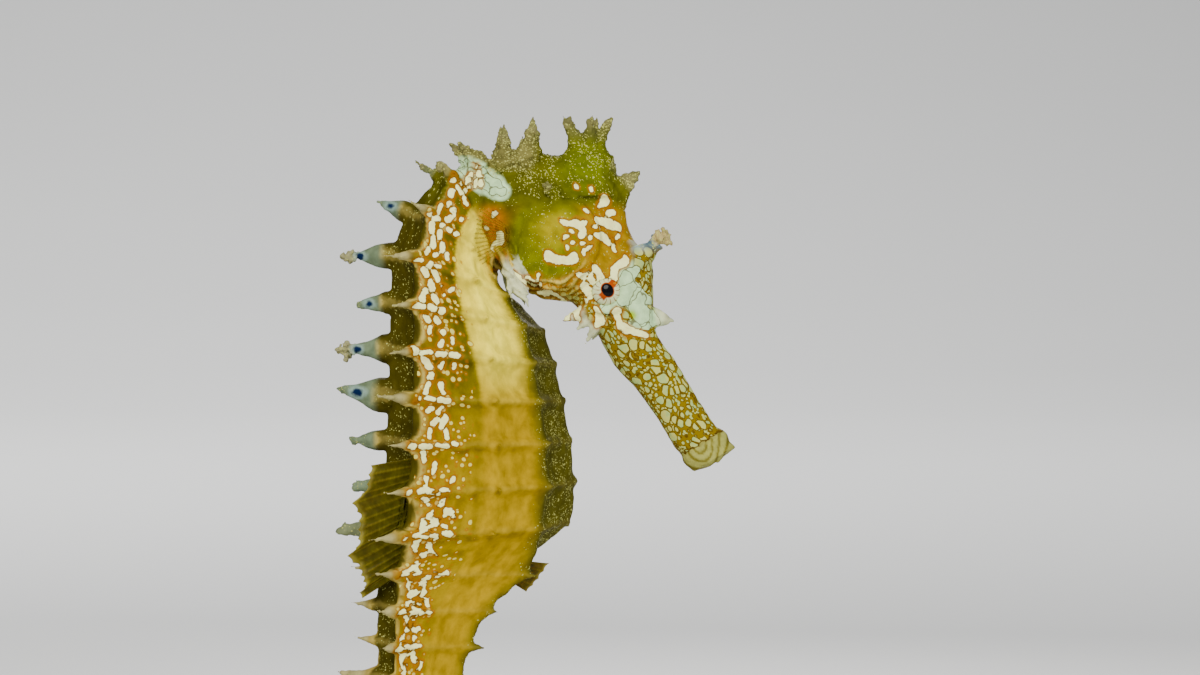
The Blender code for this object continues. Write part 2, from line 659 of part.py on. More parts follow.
def build_eye(name, side):
    globe = ball((0.0, 0.0, 0.0), (EYE_RADIUS,) * 3, EYE_SEGMENTS, EYE_RINGS)
    eye = node_of(name, *globe, "eye", eye_centre(side))
    eye.data.shade_smooth()
    return eye


def build_stretch(name):
    node = node_of(name, *stretch_of_body(BODY[name]), "golden_skin")
    forms = ring_spines(BODY[name])
    if name == "neck":
        for side in (1, -1):
            forms += ridge_spine(NAPE_SPINE[0], BACK_RIDGE, side, NAPE_SPINE[1])
            for thorn in SHOULDER_THORNS:
                aimed = turned_thorn(thorn, side, turn_at(SHOULDER_RING))
                forms.append(spine(aimed, THORN_SINK, THORN_SIDES, flat=SHOULDER_FLAT))
    combine(node, "UNION", forms)
    return node


def fin(name, roots, tips, normal):
    """A closed fin with a column of points for each ray and for each web between two, in turn.

    The rays stand out as ridges on both faces, which are split into triangles alike.
    """
    high, columns = FIN_ROWS + 1, len(roots)
    faces, sides = [], ([], [])
    for n, (root, tip) in enumerate(zip(roots, tips)):
        for row in range(high):
            share = row / FIN_ROWS
            half = WEB_HALF + ((RAY_HALF - WEB_HALF) * (1.0 - share ** 2) if n % 2 == 0 else 0.0)
            for side, points in zip((1, -1), sides):
                points.append(root + (tip - root) * share + normal * half * side)
    other = len(sides[0])
    for n in range(columns - 1):
        for row in range(FIN_ROWS):
            a, b = n * high + row, (n + 1) * high + row
            for p, q, r in ((a, b, b + 1), (a, b + 1, a + 1)):
                faces += [(p, q, r), (other + p, other + r, other + q)]
    edge = [n * high for n in range(columns)]
    edge += [(columns - 1) * high + row for row in range(1, high)]
    edge += [n * high + FIN_ROWS for n in range(columns - 2, -1, -1)]
    edge += list(range(FIN_ROWS - 1, 0, -1))
    for a, b in zip(edge, edge[1:] + edge[:1]):
        faces += [(b, a, other + a), (b, other + a, other + b)]
    return node_of(name, sides[0] + sides[1], faces, "fin_web")


def middle_fin(name, rings, rays, row, height, leans, swell):
    """A fin that stands in the body's plane on a row of the section. swell lifts its middle rays."""
    roots, tips = [], []
    for n, share in enumerate(np.linspace(0.0, 1.0, 2 * rays - 1)):
        t = rings[0] + (rings[1] - rings[0]) * share
        lean = leans[0] + (leans[1] - leans[0]) * share
        away = outward(t, row, 1)
        root = skin_point(t, row, 1) + away * FIN_CLEARANCE
        wave = math.sin(math.pi * (FIN_ENDS[0] + (FIN_ENDS[1] - FIN_ENDS[0]) * share))
        reach = height * (1.0 - swell + swell * wave)
        way = away * math.cos(lean) + along(t) * math.sin(lean)
        roots.append(root)
        tips.append(root + way * reach * (1.0 if n % 2 == 0 else WEB_REACH))
    return fin(name, roots, tips, np.array((0.0, 1.0, 0.0)))


def pectoral_fin(name, side):
    """A small fan behind a gill cover, half folded along the body."""
    c, s = math.cos(PECTORAL_OUT), math.sin(PECTORAL_OUT)
    roots, tips = [], []
    for n, share in enumerate(np.linspace(0.5, -0.5, 2 * PECTORAL_RAYS - 1)):
        rise = np.array((0.0, 0.0, 2.0 * share * PECTORAL_HALF_ROOT))
        root = turned(MIRROR[side] * PECTORAL_ROOT + rise, turn_at(SHOULDER_RING))
        angle = share * PECTORAL_SPREAD
        way = np.array((-math.cos(angle) * c, side * math.cos(angle) * s, math.sin(angle)))
        reach = PECTORAL_LENGTH * (1.0 - PECTORAL_SHORTENING * share ** 2)
        roots.append(root)
        tips.append(root + way * reach * (1.0 if n % 2 == 0 else WEB_REACH))
    return fin(name, roots, tips, np.array((s, side * c, 0.0)))


def lowest_of_coil():
    """Forward place of the curled tail's lowest point, and how low its back is over the rod there."""
    middles, lows = [], []
    for t in np.arange(LAST_TRUNK_RING, LAST_CUT, COIL_STEP):
        middle, ridge = skin_point(t, 0, 1), skin_point(t, BACK_RIDGE, 1)
        share = min(ROD_RADIUS / max(ridge[1], ROD_RADIUS), 1.0)
        middles.append(middle)
        lows.append(min(middle[2], middle[2] + (ridge[2] - middle[2]) * share))
    middles, lows = np.array(middles), np.array(lows)
    lowest = middles[middles[:, 2].argmin()]
    over_rod = np.linalg.norm(middles - lowest, axis=1) < ROD_RADIUS
    return lowest[0], lows[over_rod].min()


def build_stand():
    """A turned wooden base, and the steel rod that the curled tail rests on."""
    upper = BASE_RADIUS - BASE_STEP
    rings = ((BASE_RADIUS - BASE_EDGE / 2, 0.0), (BASE_RADIUS, BASE_EDGE / 2),
             (BASE_RADIUS, BASE_HEIGHT / 2), (upper + BASE_EDGE / 2, BASE_HEIGHT * 0.6),
             (upper, BASE_HEIGHT - BASE_EDGE), (upper - BASE_EDGE, BASE_HEIGHT))
    base = node_of("stand_base", *upright_turning((0.0, 0.0, 0.0), rings, BASE_SIDES), "stand_wood")
    forward, low = lowest_of_coil()
    height = low + LIFT - GAP - (BASE_HEIGHT + GAP)
    rod_form = upright_turning((0.0, 0.0, 0.0), ((ROD_RADIUS, 0.0), (ROD_RADIUS, height)), ROD_SIDES)
    at = (forward + FORWARD_SHIFT, 0.0, BASE_HEIGHT + GAP)
    rod = node_of("stand_rod", *rod_form, "stand_steel", at)
    for piece in (base, rod):
        piece.data.shade_smooth()
        piece.data.set_sharp_from_angle(angle=SHARP_FROM)


def build_seahorse():
    """The animal's nodes, all held by one empty."""
    nodes = [build_snout(), build_head(), build_coronet()]
    nodes += [build_eye("eye_left", 1), build_eye("eye_right", -1)]
    nodes += [build_stretch(name) for name in BODY]
    dorsal = (DORSAL_RINGS, DORSAL_RAYS, 0, DORSAL_HEIGHT, DORSAL_LEAN, DORSAL_SWELL)
    anal = (ANAL_RINGS, ANAL_RAYS, KEEL, ANAL_HEIGHT, ANAL_LEAN, ANAL_SWELL)
    nodes += [middle_fin("dorsal_fin", *dorsal), middle_fin("anal_fin", *anal)]
    nodes += [pectoral_fin("pectoral_fin_left", 1), pectoral_fin("pectoral_fin_right", -1)]
    holder = bpy.data.objects.new("seahorse", None)
    holder.location = (FORWARD_SHIFT * MM, 0.0, LIFT * MM)
    bpy.context.scene.collection.objects.link(holder)
    for node in nodes:
        node.parent = holder


clear_scene()
build_seahorse()
build_stand()
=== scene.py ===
"""Dresses the seahorse model: one patterned skin, rayed fins, glossy eyes and a display stand.

Sizes are in millimetres, in the frame that the stand holds the animal in, and become metres when a
mesh is finished. +X is where the belly faces, -Y is the animal's right side and +Z is up.
"""

from __future__ import annotations

import logging
import math
import random
from dataclasses import dataclass, field, replace
from enum import Enum
from typing import Callable, Sequence

import bmesh
import bpy
import numpy as np
from mathutils import Matrix, Vector, noise
from mathutils.bvhtree import BVHTree

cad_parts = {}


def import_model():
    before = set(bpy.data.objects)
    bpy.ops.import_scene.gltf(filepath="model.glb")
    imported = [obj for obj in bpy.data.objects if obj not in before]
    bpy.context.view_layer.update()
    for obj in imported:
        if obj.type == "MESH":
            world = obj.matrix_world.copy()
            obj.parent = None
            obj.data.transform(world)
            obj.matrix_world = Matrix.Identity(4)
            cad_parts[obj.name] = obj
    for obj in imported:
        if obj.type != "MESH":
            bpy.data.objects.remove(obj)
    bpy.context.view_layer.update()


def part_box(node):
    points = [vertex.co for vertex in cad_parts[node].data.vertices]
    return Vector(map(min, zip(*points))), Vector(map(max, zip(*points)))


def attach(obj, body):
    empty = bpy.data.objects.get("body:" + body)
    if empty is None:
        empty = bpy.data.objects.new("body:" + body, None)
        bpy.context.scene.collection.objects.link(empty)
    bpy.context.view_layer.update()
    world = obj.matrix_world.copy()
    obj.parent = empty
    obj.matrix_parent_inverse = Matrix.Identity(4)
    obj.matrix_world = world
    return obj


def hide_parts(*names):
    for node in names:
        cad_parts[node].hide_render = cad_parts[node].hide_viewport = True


LOG = logging.getLogger("seahorse")
MM = 0.001
HOLDER = np.array((-5.0, 0.0, -10.5))      # where the stand holds the animal's own frame
SEED = 11
Array = np.ndarray
Place = Callable[[Array, Array], Array]
Rays = Callable[[Array], tuple[Array, Array, Array]]
Pair = Range = tuple[float, float]
Colour = Point = Radii = tuple[float, float, float]
SIDES = {1: "left", -1: "right"}


def smooth_step(value: Array, low: float, high: float) -> Array:
    """Rises smoothly from 0 at low to 1 at high."""
    share = np.clip((value - low) / (high - low), 0.0, 1.0)
    return share * share * (3.0 - 2.0 * share)


def unit(way: Array) -> Array:
    """The direction, or each row of directions, at length 1."""
    return way / np.linalg.norm(way, axis=-1, keepdims=True)


def bell(value: Array, middle: Array, breadth: float) -> Array:
    """Falls from 1 in the middle to a third at one breadth from it, and then towards 0."""
    return np.exp(-(((value - middle) / breadth) ** 2))


def between(limits: Range, share: Array) -> Array:
    """The number at a share of the way from one limit to the other."""
    return limits[0] + (limits[1] - limits[0]) * share


def smooth_curve(a: Array, b: Array, c: Array, d: Array, share: Array) -> Array:
    """The place between b and c on a smooth curve through a, b, c and d."""
    f = share
    return b + 0.5 * f * (c - a + f * (2 * a - 5 * b + 4 * c - d + f * (3 * (b - c) + d - a)))


def row_and_side(turn: Array) -> tuple[Array, Array]:
    """The row and the side of places from 0 to 16 round the body, down the left and up the right."""
    return np.where(turn <= 8.0, turn, 16.0 - turn), np.where(turn <= 8.0, 1.0, -1.0)


# The animal's own shape


LIPS, LAST_TRUNK_RING, TAIL_RINGS = -11, 11, 36
BACK_RIDGE, SIDE_RIDGE, BELLY_RIDGE, KEEL = 1, 4, 6, 8
RIDGES = (BACK_RIDGE, SIDE_RIDGE, BELLY_RIDGE, KEEL)


class Section(Enum):
    """The shapes of the body's cuts: half of each, from the back to the belly, as (side, height)."""

    SNOUT = ((0, 1.00), (0.38, 0.93), (0.71, 0.71), (0.93, 0.38), (1.00, 0), (0.93, -0.38),
             (0.71, -0.71), (0.38, -0.93), (0, -1.00))
    FACE = ((0, 0.96), (0.46, 1.00), (0.80, 0.74), (0.96, 0.40), (1.00, 0.05), (0.95, -0.30),
            (0.80, -0.60), (0.46, -0.88), (0, -1.00))
    GILL = ((0, 1.00), (0.34, 0.93), (0.58, 0.68), (0.82, 0.36), (1.00, 0.02), (1.02, -0.30),
            (0.86, -0.60), (0.48, -0.86), (0, -1.00))
    NECK = ((0, 0.92), (0.54, 1.00), (0.76, 0.68), (0.90, 0.40), (1.00, 0.12), (0.90, -0.22),
            (0.70, -0.54), (0.38, -0.84), (0, -1.00))
    TRUNK = ((0, 0.88), (0.70, 1.00), (0.82, 0.66), (0.90, 0.38), (1.00, 0.08), (0.90, -0.24),
             (0.76, -0.54), (0.36, -0.82), (0, -1.00))
    TAIL = ((0, 0.78), (0.84, 1.00), (0.86, 0.55), (0.84, 0.25), (0.84, 0.00), (0.82, -0.35),
            (0.80, -0.95), (0.42, -0.84), (0, -0.80))


@dataclass(frozen=True)
class Cut:
    """A cut across the body: its points on the back and on the belly (forward, up)."""

    back: Pair
    belly: Pair
    half_width: float
    section: Section


HEAD_AND_TRUNK = (
    Cut((24.0, 80.4), (20.4, 78.3), 1.80, Section.SNOUT),
    Cut((22.6, 81.9), (19.05, 79.85), 1.50, Section.SNOUT),
    Cut((20.8, 84.6), (17.4, 82.5), 1.45, Section.SNOUT),
    Cut((18.9, 87.8), (15.3, 85.5), 1.60, Section.SNOUT),
    Cut((17.3, 90.1), (13.3, 87.7), 1.90, Section.SNOUT),
    Cut((16.7, 91.9), (11.7, 90.5), 2.35, Section.FACE),
    Cut((16.6, 94.6), (10.4, 92.3), 2.75, Section.FACE),
    Cut((16.4, 97.0), (9.4, 93.3), 3.00, Section.FACE),
    Cut((14.6, 99.6), (8.0, 93.6), 3.50, Section.GILL),
    Cut((13.9, 102.5), (6.9, 93.7), 3.90, Section.GILL),
    Cut((12.3, 105.0), (5.9, 94.0), 4.00, Section.GILL),
    Cut((8.9, 106.3), (5.0, 95.0), 3.90, Section.GILL),
    Cut((5.6, 106.7), (4.0, 95.9), 3.80, Section.NECK),
    Cut((0.5, 105.9), (3.0, 96.3), 3.80, Section.NECK),
    Cut((-2.2, 104.5), (2.6, 95.6), 4.00, Section.NECK),
    Cut((-4.9, 101.4), (3.0, 94.5), 4.40, Section.TRUNK),
    Cut((-6.3, 97.5), (4.9, 93.0), 4.70, Section.TRUNK),
    Cut((-6.5, 93.3), (7.0, 90.7), 5.00, Section.TRUNK),
    Cut((-6.6, 89.2), (8.1, 87.7), 5.20, Section.TRUNK),
    Cut((-6.7, 85.1), (8.9, 84.4), 5.30, Section.TRUNK),
    Cut((-6.9, 81.0), (9.6, 80.8), 5.35, Section.TRUNK),
    Cut((-7.15, 76.9), (10.0, 77.0), 5.30, Section.TRUNK),
    Cut((-7.6, 73.0), (9.3, 73.3), 5.00, Section.TRUNK),
)


@dataclass(frozen=True)
class Tail:
    """How the tail runs down from the trunk and curls forwards, ever tighter."""

    start: Pair = (-4.15, 69.4)
    heading: float = math.radians(-93.0)
    curl: float = math.radians(468.0)
    curl_power: float = 3.0
    steps: Range = (3.25, 1.05)
    depths: Range = (1.25, 7.6)
    widths: Range = (1.10, 6.8)
    taper: float = 1.12
    vent_bulge: tuple[float, ...] = (5.2, 2.0, 0.6)

    def cuts(self) -> list[Cut]:
        """Sets the tail's cuts off on both sides of its line.

        Returns:
            One cut for each ring.
        """
        steps = np.linspace(*self.steps, TAIL_RINGS - 1)
        length = steps.sum()
        place, run, cuts = np.array(self.start), 0.0, []
        for ring in range(TAIL_RINGS):
            left = (1.0 - run / length) ** self.taper
            heading = self.heading + self.curl * (run / length) ** self.curl_power
            depth, width = between(self.depths, left), between(self.widths, left)
            forward = np.array((-math.sin(heading), math.cos(heading)))
            bulge = self.vent_bulge[ring] if ring < len(self.vent_bulge) else 0.0
            back = place - forward * depth / 2
            belly = place + forward * (depth / 2 + bulge)
            cuts.append(Cut(tuple(back), tuple(belly), width / 2, Section.TAIL))
            if ring < TAIL_RINGS - 1:
                half_way = (run + steps[ring] / 2) / length
                ahead = self.heading + self.curl * half_way ** self.curl_power
                place = place + steps[ring] * np.array((math.cos(ahead), math.sin(ahead)))
                run += steps[ring]
        return cuts


@dataclass
class Body:
    """The line of cuts that the skin is stretched over, and every place on it.

    A place is a cut number t, from the lips over the skull and the trunk's rings to the tail's tip,
    a row of the section from 0 on the back to 8 on the belly, and a side, 1 left and -1 right.
    """

    head_turn: float = math.radians(-27.0)
    turn_axis: float = 2.9
    turn_first_ring: float = 4.0
    shoulder_ring: float = 1.5
    ring_breadth: float = 0.15
    ridge_breadth: float = 0.32
    ridge_sag: float = 0.055
    plate_sag: float = 0.125
    keel_sag: float = 0.022
    keel_rows: Range = (6.3, 7.6)
    ridge_rise: float = 0.022
    ring_rise: float = 0.012

    def __post_init__(self) -> None:
        """Lays all the cuts' numbers out in one table."""
        cuts = (*HEAD_AND_TRUNK, *Tail().cuts())
        rows = [[*c.back, *c.belly, c.half_width, *np.ravel(c.section.value)] for c in cuts]
        self.table = np.array(rows)
        self.tip = LIPS + len(cuts) - 1
        fine = np.linspace(LIPS, self.tip, 40 * len(cuts))
        middles = self.middle(fine)
        runs = np.linalg.norm(np.diff(middles, axis=0), axis=1)
        self.length_at = (fine, np.concatenate([[0.0], np.cumsum(runs)]))
        self.shoulder_turn = float(self.turn(self.shoulder_ring))

    def numbers(self, t: Array) -> Array:
        """Reads the table between its rows too, on a smooth curve through the cuts on either side.

        Args:
            t: the cuts.

        Returns:
            A row of numbers for each cut.
        """
        last = len(self.table) - 1
        place = np.clip(np.asarray(t, float) - LIPS, 0.0, last)
        first = np.minimum(place.astype(int), last - 1)
        rows = (self.table[np.clip(first + k, 0, last)] for k in (-1, 0, 1, 2))
        return smooth_curve(*rows, (place - first)[:, None])

    def turn(self, t: Array) -> Array:
        """How far the neck has turned the body about an upright axis."""
        first = self.turn_first_ring
        return self.head_turn * smooth_step(first - np.asarray(t, float), 0.0, first)

    def rotated(self, points: Array, turn: Array, axis: float = 0.0) -> Array:
        """Turns points (forward, side, up), or directions, about an upright axis.

        Args:
            points: one point or a row for each.
            turn: one angle, or one for each point.
            axis: how far forward the axis stands.

        Returns:
            The turned points.
        """
        x, y, z = np.moveaxis(np.asarray(points, float), -1, 0)
        x, c, s = x - axis, np.cos(turn), np.sin(turn)
        return np.stack([axis + x * c - y * s, x * s + y * c, z], axis=-1)

    def turned(self, points: Array, turn: Array) -> Array:
        """Points with the neck's turn."""
        return self.rotated(points, turn, self.turn_axis)

    def head_point(self, place: Sequence[float], side: int = 1) -> Array:
        """A place of the left half of the unturned head, in the animal's frame and on either side."""
        return self.turned(np.array((1.0, side, 1.0)) * place, self.head_turn)

    def unturned(self, points: Array) -> Array:
        """Points of the head as if it weren't turned."""
        return self.rotated(points - (self.turn_axis, 0, 0), -self.head_turn) + (self.turn_axis, 0, 0)

    def middle(self, t: Array) -> Array:
        """The body's middle line.

        Args:
            t: the cuts.

        Returns:
            A point for each cut.
        """
        n = self.numbers(t)
        flat = np.stack([(n[:, 0] + n[:, 2]) / 2, 0 * n[:, 0], (n[:, 1] + n[:, 3]) / 2], axis=1)
        return self.turned(flat, self.turn(t))

    def flat_way(self, forward: Array, up: Array, t: Array) -> Array:
        """Unit directions in the body's plane, with the neck's turn at each cut."""
        return unit(self.rotated(np.stack([forward, 0 * forward, up], axis=1), self.turn(t)))

    def along(self, t: Array) -> Array:
        """Directions towards the tail, at right angles to the cuts."""
        n = self.numbers(t)
        return self.flat_way(n[:, 3] - n[:, 1], n[:, 0] - n[:, 2], t)

    def up(self, t: Array) -> Array:
        """Directions from the belly to the back, in the plane of each cut."""
        n = self.numbers(t)
        return self.flat_way(n[:, 0] - n[:, 2], n[:, 1] - n[:, 3], t)

    def length(self, t: Array) -> Array:
        """How far along the body's middle line each cut is from the lips."""
        return np.interp(t, *self.length_at)

    def relief(self, t: Array, row: Array) -> Array:
        """The share of its size that a section has: ridges and rings stand out, plates sag between.

        Args:
            t: the cuts.
            row: the rows of the section.

        Returns:
            A factor for each place.
        """
        ring = bell(t, np.round(t), self.ring_breadth)
        ridge = np.clip(sum(bell(row, k, self.ridge_breadth) for k in RIDGES), 0.0, 1.0)
        begun = np.clip(t - 0.5, 0.0, 1.0)
        sag = self.plate_sag + (self.ridge_sag - self.plate_sag) * ridge
        sag = sag + (self.keel_sag - sag) * smooth_step(row, *self.keel_rows)
        return 1.0 + begun * (self.ridge_rise * ridge + self.ring_rise * ring - sag * (1.0 - ring))

    def skin(self, t: Array, row: Array, side: Array) -> Array:
        """The points of the bare skin at each place.

        Args:
            t: the cuts.
            row: the rows of the section, also between whole rows.
            side: 1 for the left and -1 for the right.

        Returns:
            One point for each place.
        """
        t, row, side = np.broadcast_arrays(*(np.atleast_1d(np.asarray(v, float)) for v in (t, row, side)))
        n = self.numbers(t)
        shape = n[:, 5:].reshape(-1, 9, 2)
        first = np.minimum(row.astype(int), 7)
        pick = np.arange(len(t))

        def point(k: Array) -> Array:
            """A point of the section, mirrored beyond its two ends."""
            inside = np.where(k < 0, -k, np.where(k > 8, 16 - k, k))
            mirror = np.where((k < 0) | (k > 8), -1.0, 1.0)
            return shape[pick, inside] * np.stack([mirror, np.ones_like(mirror)], axis=1)

        curve = smooth_curve(*(point(first + k) for k in (-1, 0, 1, 2)), (row - first)[:, None])
        across, height = (curve * self.relief(t, row)[:, None]).T
        back, belly = n[:, 0:2], n[:, 2:4]
        x, z = ((back + belly) / 2 + (back - belly) / 2 * height[:, None]).T
        flat = np.stack([x, side * across * n[:, 4], z], axis=1)
        return self.turned(flat, self.turn(t))

    def skin_point(self, t: float, row: float, side: int) -> Array:
        """One point of the bare skin."""
        return self.skin(t, row, side)[0]

    def outward(self, t: float, row: float, side: int) -> Array:
        """Unit direction away from the body's middle line at one place."""
        return unit(self.skin_point(t, row, side) - self.middle(np.array([t]))[0])


class Growth(Enum):
    """What a spine carries, which its colours follow."""

    PLAIN = 0
    GRAINY = 1
    TUFTED = 2
    BANDED = 3
    WHITE = 4


@dataclass(frozen=True)
class Thorn:
    """A single spine of the skin."""

    root: Array
    way: Array
    length: float
    radius: float
    growth: Growth = Growth.PLAIN
    flat: float = 1.0
    bend: float = 0.0
    cone: float = 0.0

    def at(self, share: float) -> Array:
        """The place on its axis at a share of its length."""
        return np.asarray(self.root) + np.asarray(self.way) * self.length * share


TRUNK_SPINES = {
    BACK_RIDGE: (3.1, 2.7, 2.6, 2.9, 3.6, 2.9, 3.1, 4.1, 2.9, 2.7, 3.4),
    SIDE_RIDGE: (0.0, 0.0, 0.8, 1.2, 1.7, 1.3, 1.4, 1.8, 1.3, 1.3, 1.7),
    BELLY_RIDGE: (0.0, 0.0, 0.0, 0.0, 0.3, 0.3, 0.3, 0.4, 0.4, 0.5, 0.8),
    KEEL: (0.0, 0.0, 0.0, 0.0, 0.0, 0.12, 0.12, 0.2, 0.12, 0.12, 0.2)}
TAIL_SPINES = {BACK_RIDGE: (0.45, 2.9), BELLY_RIDGE: (0.30, 1.3)}
BACK_LEANS = (0.0, 0.65, 0.42, 0.37, 0.38, 0.30, 0.16, 0.0, 0.0, 0.0, 0.0)


@dataclass
class Spines:
    """All the spines of the rings, in the order that their variation is drawn in."""

    body: Body
    nape_place: float = 1.45
    nape_length: float = 3.0
    last_neck_ring: int = 3
    long_every: int = 4
    long_first: int = 3
    long_share: float = 1.35
    short_share: float = 0.82
    slender: float = 0.205
    radii: Range = (0.27, 1.05)
    length_jitter: float = 0.10
    lean_jitter: float = 0.05
    tufted_rings: tuple[int, ...] = (5, 7)
    banded_rings: tuple[int, ...] = (4, 6, 8)
    bend: float = -0.05
    far_flat: float = 1.35
    far_cone: float = 1.0
    near_share: float = 0.78
    nape_share: float = 1.25
    nape_cone: float = 0.8

    def length(self, ring: int, row: int) -> float:
        """How long the spines of a ring are.

        Args:
            ring: the ring.
            row: the ridge that they stand on.

        Returns:
            Their length before the variation, and 0 where there are none.
        """
        if ring <= LAST_TRUNK_RING:
            return TRUNK_SPINES[row][ring - 1]
        if row not in TAIL_SPINES:
            return 0.0
        left = 1.0 - (ring - LAST_TRUNK_RING) / TAIL_RINGS
        long = ring % self.long_every == self.long_first
        return between(TAIL_SPINES[row], left) * (self.long_share if long else self.short_share)

    def growth(self, t: float, row: int, side: int) -> Growth:
        """What a spine carries: the spots lie on the left side's spines alone.

        Args:
            t: its place along the body.
            row: its ridge.
            side: 1 for the left and -1 for the right.

        Returns:
            Its growth.
        """
        if row == BACK_RIDGE and side > 0 and t in self.tufted_rings:
            return Growth.TUFTED
        if row == BACK_RIDGE and side > 0 and t in self.banded_rings:
            return Growth.BANDED
        return Growth.GRAINY if t < self.last_neck_ring + 1 else Growth.PLAIN

    def ridge_spine(self, t: float, row: int, side: int, length: float, chance: random.Random) -> Thorn:
        """One spine on a ridge.

        Args:
            t: its place along the body.
            row: its ridge.
            side: 1 for the left and -1 for the right.
            length: its length before the variation.
            chance: what the variation is drawn from.

        Returns:
            The spine.
        """
        length *= 1.0 + self.length_jitter * (2.0 * chance.random() - 1.0)
        lean = self.lean_jitter * (2.0 * chance.random() - 1.0)
        if row == BACK_RIDGE and t in range(1, LAST_TRUNK_RING + 1):
            lean += BACK_LEANS[int(t) - 1]
        way = unit(self.body.outward(t, row, side) + lean * self.body.along(np.array([t]))[0])
        radius = min(max(length * self.slender, self.radii[0]), self.radii[1])
        flat, cone = 1.0, 0.0
        if row == BACK_RIDGE and self.last_neck_ring < t <= LAST_TRUNK_RING:
            if side > 0:
                flat, cone = self.far_flat, self.far_cone
            else:
                radius *= self.near_share
        elif t < self.last_neck_ring:
            radius, cone = radius * self.nape_share, self.nape_cone
        root, growth = self.body.skin_point(t, row, side), self.growth(t, row, side)
        return Thorn(root, way, length, radius, growth, flat, self.bend, cone)

    def all(self) -> list[Thorn]:
        """Draws every ring's spines.

        Returns:
            The spines from the neck to the tail's tip.
        """
        chance = random.Random(SEED)
        made = []
        for ring in range(1, self.body.tip):
            for row in RIDGES:
                length = self.length(ring, row)
                for side in ((1,) if row == KEEL else SIDES):
                    if length > 0:
                        made.append(self.ridge_spine(ring, row, side, length, chance))
            if ring == self.last_neck_ring:
                for side in SIDES:
                    nape = self.ridge_spine(self.nape_place, BACK_RIDGE, side, self.nape_length, chance)
                    made.append(nape)
        return made


# Meshes


class Forms:
    """A heap of closed forms in one bmesh, each made from one of Blender's own shapes."""

    def __init__(self) -> None:
        """Starts with nothing."""
        self.mesh = bmesh.new()
        self.rolled: dict[tuple[int, int], tuple[bpy.types.Mesh, Array, Array]] = {}

    def roll(self, steps: int, around: int) -> tuple[bpy.types.Mesh, Array, Array]:
        """Rolls a grid up into a closed tube, once for each number of faces.

        Args:
            steps: faces along it.
            around: faces round it.

        Returns:
            The tube, and each vertex's share along it and turn round it, both from 0 to 1.
        """
        if (steps, around) not in self.rolled:
            tube = bmesh.new()
            bmesh.ops.create_grid(tube, x_segments=steps, y_segments=around, size=1.0)
            for vert in tube.verts:
                angle = math.pi * (vert.co.y + 1.0)
                vert.co = (vert.co.x, math.cos(angle), math.sin(angle))
            bmesh.ops.remove_doubles(tube, verts=tube.verts, dist=1e-5)
            bmesh.ops.holes_fill(tube, edges=[edge for edge in tube.edges if edge.is_boundary], sides=0)
            bmesh.ops.recalc_face_normals(tube, faces=tube.faces)
            mesh = bpy.data.meshes.new("sleeve")
            tube.to_mesh(mesh)
            tube.free()
            x, y, z = coordinates(mesh).T
            self.rolled[steps, around] = (mesh, (x + 1.0) / 2.0, (np.arctan2(z, y) / (2 * math.pi)) % 1.0)
        return self.rolled[steps, around]

    def sleeve(self, steps: int, around: int, place: Place) -> None:
        """Adds a closed tube.

        Args:
            steps: faces along it.
            around: faces round it.
            place: gives the points for shares from 0 to 1 along it, and turns from 0 to 1.
        """
        mesh, share, turn = self.roll(steps, around)
        set_coordinates(mesh, place(share, turn))
        self.mesh.from_mesh(mesh)

    def ball(self, centre: Array, radius: float, scale: Sequence[float] = (1, 1, 1),
             turn: Matrix = Matrix.Identity(3)) -> None:
        """Adds a closed ball.

        Args:
            centre: its middle.
            radius: its radius.
            scale: how far it is stretched along each axis.
            turn: how it is turned after that.
        """
        shape = turn.to_4x4() @ Matrix.Diagonal((*scale, 1.0))
        place = Matrix.Translation(Vector(centre)) @ shape
        bmesh.ops.create_icosphere(self.mesh, subdivisions=3, radius=radius, matrix=place)

    def to_object(self, name: str) -> bpy.types.Object:
        """Ends the heap with its faces turned outwards.

        A thin sheet can come out of the recalculation inside out, which its volume tells.

        Args:
            name: the object's name.

        Returns:
            A mesh object in the scene, still in millimetres.
        """
        bmesh.ops.recalc_face_normals(self.mesh, faces=self.mesh.faces)
        if self.mesh.calc_volume(signed=True) < 0.0:
            bmesh.ops.reverse_faces(self.mesh, faces=self.mesh.faces)
        mesh = bpy.data.meshes.new(name)
        self.mesh.to_mesh(mesh)
        self.mesh.free()
        for rolled, _, _ in self.rolled.values():
            bpy.data.meshes.remove(rolled)
        return link(name, mesh)


def link(name: str, data: bpy.types.ID) -> bpy.types.Object:
    """Puts a mesh, a light or a camera into the scene.

    Args:
        name: the object's name.
        data: what it holds.

    Returns:
        The object.
    """
    made = bpy.data.objects.new(name, data)
    bpy.context.scene.collection.objects.link(made)
    return made


def vectors(mesh: bpy.types.Mesh, kind: str) -> Array:
    """Reads one of the vectors that each vertex holds.

    Args:
        mesh: the mesh.
        kind: "co" for its place or "normal" for its normal.

    Returns:
        A row for each vertex.
    """
    flat = np.empty(3 * len(mesh.vertices), np.float32)
    mesh.vertices.foreach_get(kind, flat)
    return flat.reshape(-1, 3).astype(float)


def coordinates(mesh: bpy.types.Mesh) -> Array:
    """The places of a mesh's vertices."""
    return vectors(mesh, "co")


def set_coordinates(mesh: bpy.types.Mesh, points: Array) -> None:
    """Moves a mesh's vertices."""
    mesh.vertices.foreach_set("co", points.astype(np.float32).ravel())
    mesh.update()


def settle(obj: bpy.types.Object) -> None:
    """Applies an object's modifiers to its mesh."""
    bpy.context.view_layer.update()
    graph = bpy.context.evaluated_depsgraph_get()
    mesh = bpy.data.meshes.new_from_object(obj.evaluated_get(graph))
    obj.modifiers.clear()
    old, obj.data = obj.data, mesh
    bpy.data.meshes.remove(old)


